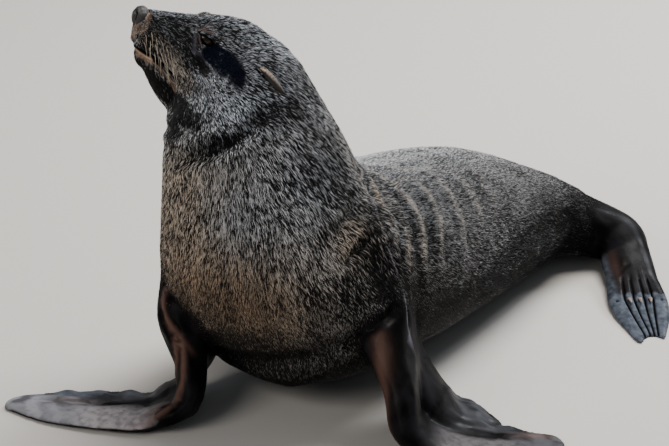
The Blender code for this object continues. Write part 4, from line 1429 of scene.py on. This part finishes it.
def coatColour(bench, along, chance):
    # dark at the root, with a share of tips pale
    # the dark mark holds painted shade as well as darker fur, and the pale mark painted highlight as well
    # as paler tips
    dark, pale, rust = bench.held("dark"), bench.held("pale"), bench.held("rust")
    warm = bench.held("warm") * (1 - bench.held("cold"))
    body = bench.blend(warm, coatTones["slate"], coatTones["brown"])
    soft = bench.blend(dark * 0.85, bench.blend(warm, coatTones["softCold"], coatTones["softWarm"]), body)
    body = bench.blend(bench.held("even"), body, soft)
    body = bench.blend(rust * 0.7, body, coatTones["rust"])
    body = bench.blend(along * (0.8 - 0.6 * dark), coatTones["root"], body)
    tip = bench.blend(warm * 0.8 + 0.2 * chance, coatTones["coldTip"], coatTones["warmTip"])
    tip = bench.blend(rust * 0.8, tip, coatTones["rustTip"])
    share = bench.held("grey") * (1 - 0.82 * dark) + 0.22 * pale
    salted = (chance < share) * bench.spread(along, 0.05, 0.45)
    bright = (1.0 - 0.34 * bench.held("even") + 0.22 * pale) * (1 - 0.5 * dark)
    bright = bright * bench.spread(chance / (share + 0.01), 0.0, 1.0, 1.0, 0.45)
    tipped = bench.blend(salted * bright * 1.25, body, tip)
    tan = bench.held("tan") * bench.spread(along, 0.0, 0.8, 0.3, 1.0)
    tan = tan * bench.spread(chance, 0.2, 0.9, 1.0, 0.3)
    tanned = bench.blend(tan, tipped, coatTones["tan"])
    rosy = bench.blend(bench.held("rose") * 0.7, tanned, coatTones["rose"])
    ashen = bench.blend(bench.held("ash") * 0.85, rosy, coatTones["ash"])
    return bench.blend(bench.spread(bench.held("wet"), 0.0, 0.6), ashen, coatTones["wet"])


def makeCoatFinish():
    material, bench, shader = newFinish("coat")
    along, chance = bench.held("along"), bench.held("chance")
    feed(bench, shader, Base_Color=coatColour(bench, along, chance))
    feed(bench, shader, Roughness=0.5 - 0.22 * bench.held("wet"), Specular_IOR_Level=0.35)
    return material


def leatherColour(bench):
    cloud, mottle = bench.noise(0.045, 4.0), bench.noise(0.01, 4.0)
    worn = bench.spread(cloud, 0.42, 0.72)
    leather = bench.blend(worn, leatherTones["black"], leatherTones["worn"])
    # dust with painted sheen on the blades' tops, bluish towards the hem
    dustAndSheenTone = bench.blend(bench.held("cold"), leatherTones["dust"], leatherTones["hem"])
    grain = bench.spread(mottle, 0.32, 0.62, 0.55, 1.0)
    grain = grain * bench.spread(bench.held("cold") * mottle, 0.15, 0.45, 1.0, 0.45)
    leather = bench.blend(bench.held("dust") * grain, leather, dustAndSheenTone)
    toes = bench.blend(bench.spread(mottle, 0.35, 0.65), leatherTones["toeDark"], leatherTones["toe"])
    leather = bench.blend(bench.held("toe"), leather, toes)
    leather = bench.blend(bench.held("rose") * 0.8, leather, leatherTones["rose"])
    lips = bench.blend(mottle, coatTones["tan"], leatherTones["lip"])
    leather = bench.blend(bench.held("tan"), leather, lips)
    leather = bench.blend(bench.held("ash") * 0.7, leather, coatTones["ash"])
    # painted shade, near black, in the mouth line, around the nose pad, in the toe clefts and in the pits
    return bench.blend(bench.held("gape"), leather, leatherTones["black"])


def makeSkinFinish():
    material, bench, shader = newFinish("skin")
    bare = bench.held("bare")
    under = coatColour(bench, bench.noise(0.004, 2.0) * 0.5, bench.noise(0.0025, 1.0))
    feed(bench, shader, Base_Color=bench.blend(bare, under, leatherColour(bench)))
    sheen = bench.spread(bench.noise(0.03, 4.0), 0.3, 0.7, 0.34, 0.5)
    sheen = sheen + 0.15 * bench.held("dust") + 0.04 * bench.held("toe") + 0.1 * bench.held("tan")
    feed(bench, shader, Roughness=0.8 * (1 - bare) + sheen * bare)
    height = bench.spread(bench.cells(800.0), 0.0, 0.25) * 0.12 + bench.noise(0.01, 5.0) * 0.8
    feed(bench, shader, Normal=bench.bump(0.3, 0.0008, height))
    glints = bare * bench.spread(bench.noise(0.035, 3.0), 0.5, 0.72, 0.01, 0.09)
    feed(bench, shader, Specular_IOR_Level=0.028, Coat_Weight=glints, Coat_Roughness=0.22)
    return material


dress(skin, makeSkinFinish())
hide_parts(*flesh)
print("skin dressed")


# ---- the coat: overlapping tufts, laid by one geometry tree

tuftPlan = {
    "cover": 32.0,  # tufts to the square of their own length
    "width": 0.135,  # of the length
    "thick": 0.09,
    "lift": 11.0,  # degrees off the skin
    "liftSpread": 9.0,
    "yawSpread": 13.0,
    "rollSpread": 0.35,  # in radians
    "lengths": (0.7, 1.3),  # against the hair's own length
    "widths": (0.7, 1.35),
    "clump": 0.005,  # neighbours within this are pale or dark together
    "clumped": 0.14,
    "shortest": 0.0058,  # hair shorter than this stands no closer
    "most": 46000,  # in one piece
    "quickShare": 0.2,
    "seed": 40,
    "patch": 0.003,  # across each tuft's own place on the unwrap
}
coatFinish = makeCoatFinish()


def tuftForm():
    # a thin closed spike, one long along y, with a low ridge
    points = [(-0.5, 0, 0), (0.5, 0, 0), (0, 0.32, 1.0), (0, 1, 0)]
    mesh = meshOf("tuft", points, [(0, 1, 2), (1, 3, 2), (3, 0, 2), (0, 3, 1)])
    keep(mesh, "along", [0.0, 0.0, 0.35, 1.0])
    keep(mesh, "spot", [(-0.5, -0.5, 0), (0.5, -0.5, 0), (0, -0.1, 0), (0, 0.5, 0)], "FLOAT_VECTOR")
    return linked("tuft", mesh)


def tuftTree():
    tree = bpy.data.node_groups.new("coatTufts", "GeometryNodeTree")
    face = tree.interface
    face.new_socket("Geometry", in_out="INPUT", socket_type="NodeSocketGeometry")
    for name, kind in (("Zone", "Int"), ("Cover", "Float"), ("Width", "Float"), ("Thickness", "Float"),
                       ("Lift", "Float"), ("Seed", "Int"), ("Tuft", "Object"), ("Finish", "Material")):
        face.new_socket(name, in_out="INPUT", socket_type=f"NodeSocket{kind}")
    face.new_socket("Geometry", in_out="OUTPUT", socket_type="NodeSocketGeometry")
    bench = Bench(tree)
    given = bench.add("NodeGroupInput")

    def named(name, kind="FLOAT"):
        return bench.add("GeometryNodeInputNamedAttribute", {"data_type": kind}, {"Name": name})

    def stored(geometry, name, value, kind, domain):
        return bench.add("GeometryNodeStoreNamedAttribute", {"data_type": kind, "domain": domain},
                         {"Geometry": geometry, "Name": name, "Value": value})

    def without(geometry, *names):
        for name in names:
            geometry = bench.add("GeometryNodeRemoveAttribute", {}, {"Geometry": geometry, "Name": name})
        return geometry

    def random(low, high, offset):
        return bench.add("FunctionNodeRandomValue", {"data_type": "FLOAT"},
                         {2: low, 3: high, "Seed": given.also("Seed") + offset}, out=1)

    def vector(x, y, z):
        return bench.add("ShaderNodeCombineXYZ", {}, {"X": x, "Y": y, "Z": z})

    here = bench.add("FunctionNodeCompare", {"data_type": "INT", "operation": "EQUAL"},
                     {2: named("zone", "INT"), 3: given.also("Zone")})
    hair = named("hair")
    counted = bench.add("ShaderNodeMath", {"operation": "MAXIMUM"}, {0: hair, 1: tuftPlan["shortest"]})
    density = given.also("Cover") / (counted * counted) * named("growth") * here
    spots = bench.add("GeometryNodeDistributePointsOnFaces", {"distribute_method": "RANDOM"},
                      {"Mesh": given.also("Geometry"), "Density": density, "Seed": given.also("Seed")})
    axes = {"Primary Axis": spots.also("Normal"), "Secondary Axis": named("lie", "FLOAT_VECTOR")}
    upright = bench.add("FunctionNodeAxesToRotation", {"primary_axis": "Z", "secondary_axis": "Y"}, axes)
    lift, yaw = math.radians(tuftPlan["liftSpread"]), math.radians(tuftPlan["yawSpread"])
    roll = tuftPlan["rollSpread"]
    turn = vector(given.also("Lift") + random(-lift, lift, 1), random(-roll, roll, 2), random(-yaw, yaw, 3))
    turn = bench.add("FunctionNodeEulerToRotation", {}, {0: turn})
    placed = bench.add("FunctionNodeRotateRotation", {"rotation_space": "LOCAL"}, {0: upright, 1: turn})
    length = hair * random(*tuftPlan["lengths"], 4)
    width = hair * given.also("Width") * random(*tuftPlan["widths"], 5)
    size = vector(width, length, hair * given.also("Thickness"))
    tuft = bench.add("GeometryNodeObjectInfo", {}, {"Object": given.also("Tuft")}, out="Geometry")
    laid = bench.add("GeometryNodeInstanceOnPoints", {},
                     {"Points": spots, "Instance": tuft, "Rotation": placed, "Scale": size})
    spot = bench.add("GeometryNodeInputPosition")
    clump = bench.spread(bench.noise(tuftPlan["clump"], 2.0, where=spot), 0.32, 0.68)
    share = tuftPlan["clumped"]
    chance = share * clump + random(0.0, 1 - share, 6)
    chanced = stored(laid, "chance", chance, "FLOAT", "INSTANCE")
    rooted = stored(chanced, "root", named("OFBake", "FLOAT_VECTOR"), "FLOAT_VECTOR", "INSTANCE")
    whole = bench.add("GeometryNodeRealizeInstances", {}, {"Geometry": rooted})
    whole = without(whole, "OFBake", "lie", "zone", "hair", "growth", "bare", "gape", "toe", "dust")
    patch = bench.add("ShaderNodeVectorMath", {"operation": "SCALE"},
                      {0: named("spot", "FLOAT_VECTOR"), "Scale": tuftPlan["patch"]})
    root = named("root", "FLOAT_VECTOR")
    place = bench.add("ShaderNodeVectorMath", {"operation": "ADD"}, {0: root, 1: patch})
    mapped = without(stored(whole, "OFBake", place, "FLOAT2", "CORNER"), "root", "spot")
    done = bench.add("GeometryNodeSetMaterial", {}, {"Geometry": mapped, "Material": given.also("Finish")})
    bench.add("NodeGroupOutput", {}, {"Geometry": done})
    return tree


def tuftsWanted():
    # how many tufts each zone would take at full cover
    mesh = skin.data
    areas = np.empty(len(mesh.polygons), np.float32)
    mesh.polygons.foreach_get("area", areas)
    firsts = np.array([p.vertices[0] for p in mesh.polygons])
    each = areas * growth[firsts] / np.maximum(cover["hair"][firsts], tuftPlan["shortest"]) ** 2
    return [tuftPlan["cover"] * each[faceZones == i].sum() for i in range(len(zonePlan))]


def makeCoat():
    tree, tuft = tuftTree(), tuftForm()
    keys = {item.name: item.identifier for item in tree.interface.items_tree if item.in_out == "INPUT"}
    most = tuftPlan["most"] * 1
    for index, (zone, wanted) in enumerate(zip(zonePlan, tuftsWanted())):
        source = linked("tuftSource", skin.data)
        layer = source.modifiers.new("tufts", "NODES")
        layer.node_group = tree
        values = {
            "Zone": index,
            "Cover": tuftPlan["cover"] * min(1, most / wanted),
            "Width": tuftPlan["width"],
            "Thickness": tuftPlan["thick"],
            "Lift": math.radians(tuftPlan["lift"]),
            "Seed": tuftPlan["seed"] + index,
            "Tuft": tuft,
            "Finish": coatFinish,
        }
        for name, value in values.items():
            layer[keys[name]] = value
        mesh = settledMesh(source)
        bpy.data.objects.remove(source)
        piece = linked(f"coat_{zone}", mesh)
        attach(piece, "root")
        print("coat", zone, "wanted", int(wanted), "triangles", len(mesh.polygons))
    bpy.data.objects.remove(tuft)


makeCoat()


# ---- eyes, nose, ears, whiskers and nails

def roundForm(name, around=48, tall=32):
    form = bmesh.new()
    bmesh.ops.create_uvsphere(form, u_segments=around, v_segments=tall, radius=1)
    mesh = bpy.data.meshes.new(name)
    form.to_mesh(mesh)
    form.free()
    mesh.shade_smooth()
    return linked(name, mesh)


def makeEyeFinish():
    tones = ((0.006, 0.005, 0.005), (0.02, 0.014, 0.01))
    material, bench, shader = mottledFinish("eye", (0.004, 2.0), tones, (0.05, 0.12))
    feed(bench, shader, Specular_IOR_Level=0.22, Coat_Weight=0.12, Coat_Roughness=0.02)
    return material


def makeEyes():
    finish = makeEyeFinish()
    for side, word in ((1, "left"), (-1, "right")):
        ball = roundForm(f"eyeball_{word}")
        middle = np.array(headPlan["eye"]) * np.array([side, 1, 1])
        movePoints(ball.data, fromHead(pointsOf(ball.data) * eyePlan["radius"] + middle))
        dress(ball, finish)
        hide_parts(f"eye_{word}")


def makeNoseFinish():
    tones = ((0.01, 0.009, 0.01), (0.04, 0.034, 0.034))
    material, bench, shader = mottledFinish("nose", (0.008, 3.0), tones, (0.3, 0.48))
    feed(bench, shader, Normal=bench.bump(0.5, 0.0004, bench.spread(bench.cells(900.0), 0.0, 0.2)))
    return material


# each nostril: a slit that opens to the side and curls down: (sideways, up) from the pad's middle
nostrilPlan = {"line": ((0.005, 0.006), (0.0095, 0.0035), (0.0105, -0.002), (0.0085, -0.0095)),
               "depth": 0.0065, "width": 0.0019}


def makeNose():
    # a pad with two nostrils and the groove between them
    pad = roundForm("nose_pad", 96, 64)
    half = np.array(nosePlan["half"])
    places = pointsOf(pad.data) * half
    front = places[:, 1] < 0.003
    side, up = np.abs(places[:, 0]), places[:, 2]
    gap, _ = awayFrom(np.column_stack([side, up]), nostrilPlan["line"])
    slit = nostrilPlan["depth"] * bell(gap, nostrilPlan["width"]) * front
    rim = 0.0008 * bell(gap - 0.0036, 0.0016) * front
    groove = 0.0012 * bell(side, 0.0012) * ease(0.006, -0.002, up) * front
    way = places / np.linalg.norm(places, axis=1)[:, None]
    places += way * (rim - groove)[:, None]
    places += np.array([0, 1, 0]) * slit[:, None]
    movePoints(pad.data, fromHead(places + np.array(headPlan["nose"])))
    dress(pad, makeNoseFinish())
    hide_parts("nose")


def makeEarFinish():
    material, bench, shader = newFinish("ear")
    tone = bench.noise(0.0035, 4.0)
    outer = bench.blend(bench.spread(tone, 0.4, 0.66), (0.016, 0.012, 0.01), (0.115, 0.08, 0.058))
    # tan along the curled rims, fading towards the tip, partly a painted highlight
    curl = bench.held("rim") * bench.spread(bench.held("down"), 0.05, 0.5, 1.0, 0.15)
    outer = bench.blend(curl * bench.spread(tone, 0.3, 0.6), outer, (0.42, 0.3, 0.2))
    outer = bench.blend(bench.spread(bench.held("down"), 0.35, 1.0, 0.0, 0.8), outer, (0.02, 0.015, 0.013))
    # the inner wall of the roll is near black, a painted shade
    feed(bench, shader, Base_Color=bench.blend(bench.held("inner"), outer, (0.008, 0.006, 0.006)))
    feed(bench, shader, Roughness=bench.spread(tone, 0.2, 0.8, 0.55, 0.75))
    feed(bench, shader, Normal=bench.bump(0.6, 0.0008, bench.noise(0.002, 3.0)))
    return material


def earForm(word):
    # rings of points from root to tip, each out along the outer wall and back along the inner one
    root, tip = (np.array(v) for v in earPlan[word])
    hand = math.copysign(1, root[0])
    way = (tip - root) / np.linalg.norm(tip - root)
    out = np.array([hand, 0, 0]) - way * (hand * way[0])
    out /= np.linalg.norm(out)
    across = np.cross(way, out) * hand
    widths = earPlan["widths"]
    points, marks = [], {"inner": [], "down": [], "rim": []}
    for step in np.linspace(0, 1, earPlan["rings"]):
        middle = root + (tip - root) * step + out * earPlan["bow"] * math.sin(math.pi * step)
        wide = np.interp(step, np.linspace(0, 1, len(widths)), widths)
        wall = min(earPlan["wall"], wide * 0.4)
        for inner in (False, True):
            for turn in np.linspace(0, 1, earPlan["around"])[:: -1 if inner else 1]:
                angle = math.radians(earPlan["open"] + earPlan["roll"] * (turn - 0.5))
                reach = wide - (wall if inner else 0) - earPlan["curl"] * wide * turn
                flat = across * math.cos(angle) * reach
                points.append(middle + flat - out * math.sin(angle) * reach * earPlan["flat"])
                marks["inner"].append(float(inner) * ease(0.5, 0.42, abs(turn - 0.5)))
                marks["down"].append(step)
                marks["rim"].append(ease(0.3, 0.44, abs(turn - 0.5)))
    return fromHead(points), marks


def ringFaces(rings, count):
    # the sides and the two ends of a closed form made of rings
    faces = []
    for low in range(0, (rings - 1) * count, count):
        for index in range(count):
            after = (index + 1) % count
            faces.append((low + index, low + after, low + count + after, low + count + index))
    return [*faces, tuple(range(count))[::-1], tuple(range((rings - 1) * count, rings * count))]


def makeEars():
    finish = makeEarFinish()
    for word in ("left", "right"):
        points, marks = earForm(word)
        faces = ringFaces(earPlan["rings"], 2 * earPlan["around"])
        ear = linked(f"ear_roll_{word}", meshOf(f"ear_roll_{word}", points, faces))
        form = bmesh.new()
        form.from_mesh(ear.data)
        bmesh.ops.recalc_face_normals(form, faces=form.faces)
        form.to_mesh(ear.data)
        form.free()
        for mark, values in marks.items():
            keep(ear.data, mark, values)
        ear.data.shade_smooth()
        dress(ear, finish)
        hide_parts(f"ear_{word}")


# whiskers: (ahead, up) of each root on the pad, and length
whiskerPlan = [
    ((0.19, -0.014), 0.02), ((0.187, -0.026), 0.024), ((0.183, -0.008), 0.024), ((0.18, -0.019), 0.03),
    ((0.177, -0.03), 0.03), ((0.174, -0.011), 0.028), ((0.171, -0.022), 0.036), ((0.168, -0.033), 0.034),
    ((0.165, -0.014), 0.032), ((0.162, -0.026), 0.042), ((0.159, -0.035), 0.038), ((0.156, -0.018), 0.036),
    ((0.153, -0.029), 0.046), ((0.15, -0.038), 0.04), ((0.147, -0.022), 0.034), ((0.144, -0.033), 0.044),
    ((0.14, -0.027), 0.03), ((0.137, -0.038), 0.036),
]
# how each starts out from the pad, and how it ends, back and down along the cheek: (way, how far it strays)
whiskerWays = (((0.6, 0.45, -0.5), 0.1), ((0.26, 0.42, -0.86), 0.16))
whiskerThick = 0.0004
whiskerSteps = 11


def makeWhiskers():
    tree = BVHTree.FromObject(skin, bpy.context.evaluated_depsgraph_get())
    draw = np.random.default_rng(7)
    lines = bpy.data.curves.new("whiskers", "CURVE")
    lines.dimensions = "3D"
    lines.bevel_depth = whiskerThick
    lines.bevel_resolution = 1
    lines.use_fill_caps = True
    for side in (1, -1):
        for (ahead, up), length in whiskerPlan:
            start = fromHead([side * 0.08, -ahead, up])
            inward = headAxes @ np.array([-side, 0, 0])
            place = np.array(tree.ray_cast(Vector(start), Vector(inward))[0])
            hand = np.array([side, 1, 1])
            ways = [headAxes @ (hand * way) + draw.normal(size=3) * stray for way, stray in whiskerWays]
            spline = lines.splines.new("POLY")
            spline.points.add(whiskerSteps)
            for index, point in enumerate(spline.points):
                share = index / whiskerSteps
                point.co = (*place, 1)
                point.radius = 1 - 0.85 * share
                lean = ways[0] * (1 - share) ** 2 + ways[1] * (1 - (1 - share) ** 2)
                place = place + lean / np.linalg.norm(lean) * length / whiskerSteps
    bristles = linked("bristles", lines)
    whiskers = linked("whiskers", settledMesh(bristles))
    bpy.data.objects.remove(bristles)
    tones = ((0.55, 0.44, 0.33), (0.85, 0.76, 0.64))
    dress(whiskers, mottledFinish("whiskers", (0.02, 2.0), tones, (0.35, 0.35))[0])


def finishNails():
    tones = ((0.1, 0.075, 0.065), (0.34, 0.26, 0.22))
    material = mottledFinish("nail", (0.006, 3.0), tones, (0.28, 0.45))[0]
    for name in nodes:
        if name.startswith("claw"):
            nodes[name].data.materials.clear()
            nodes[name].data.materials.append(material)


makeEyes()
makeNose()
makeEars()
makeWhiskers()
finishNails()
print("eyes, nose, ears, whiskers and nails")
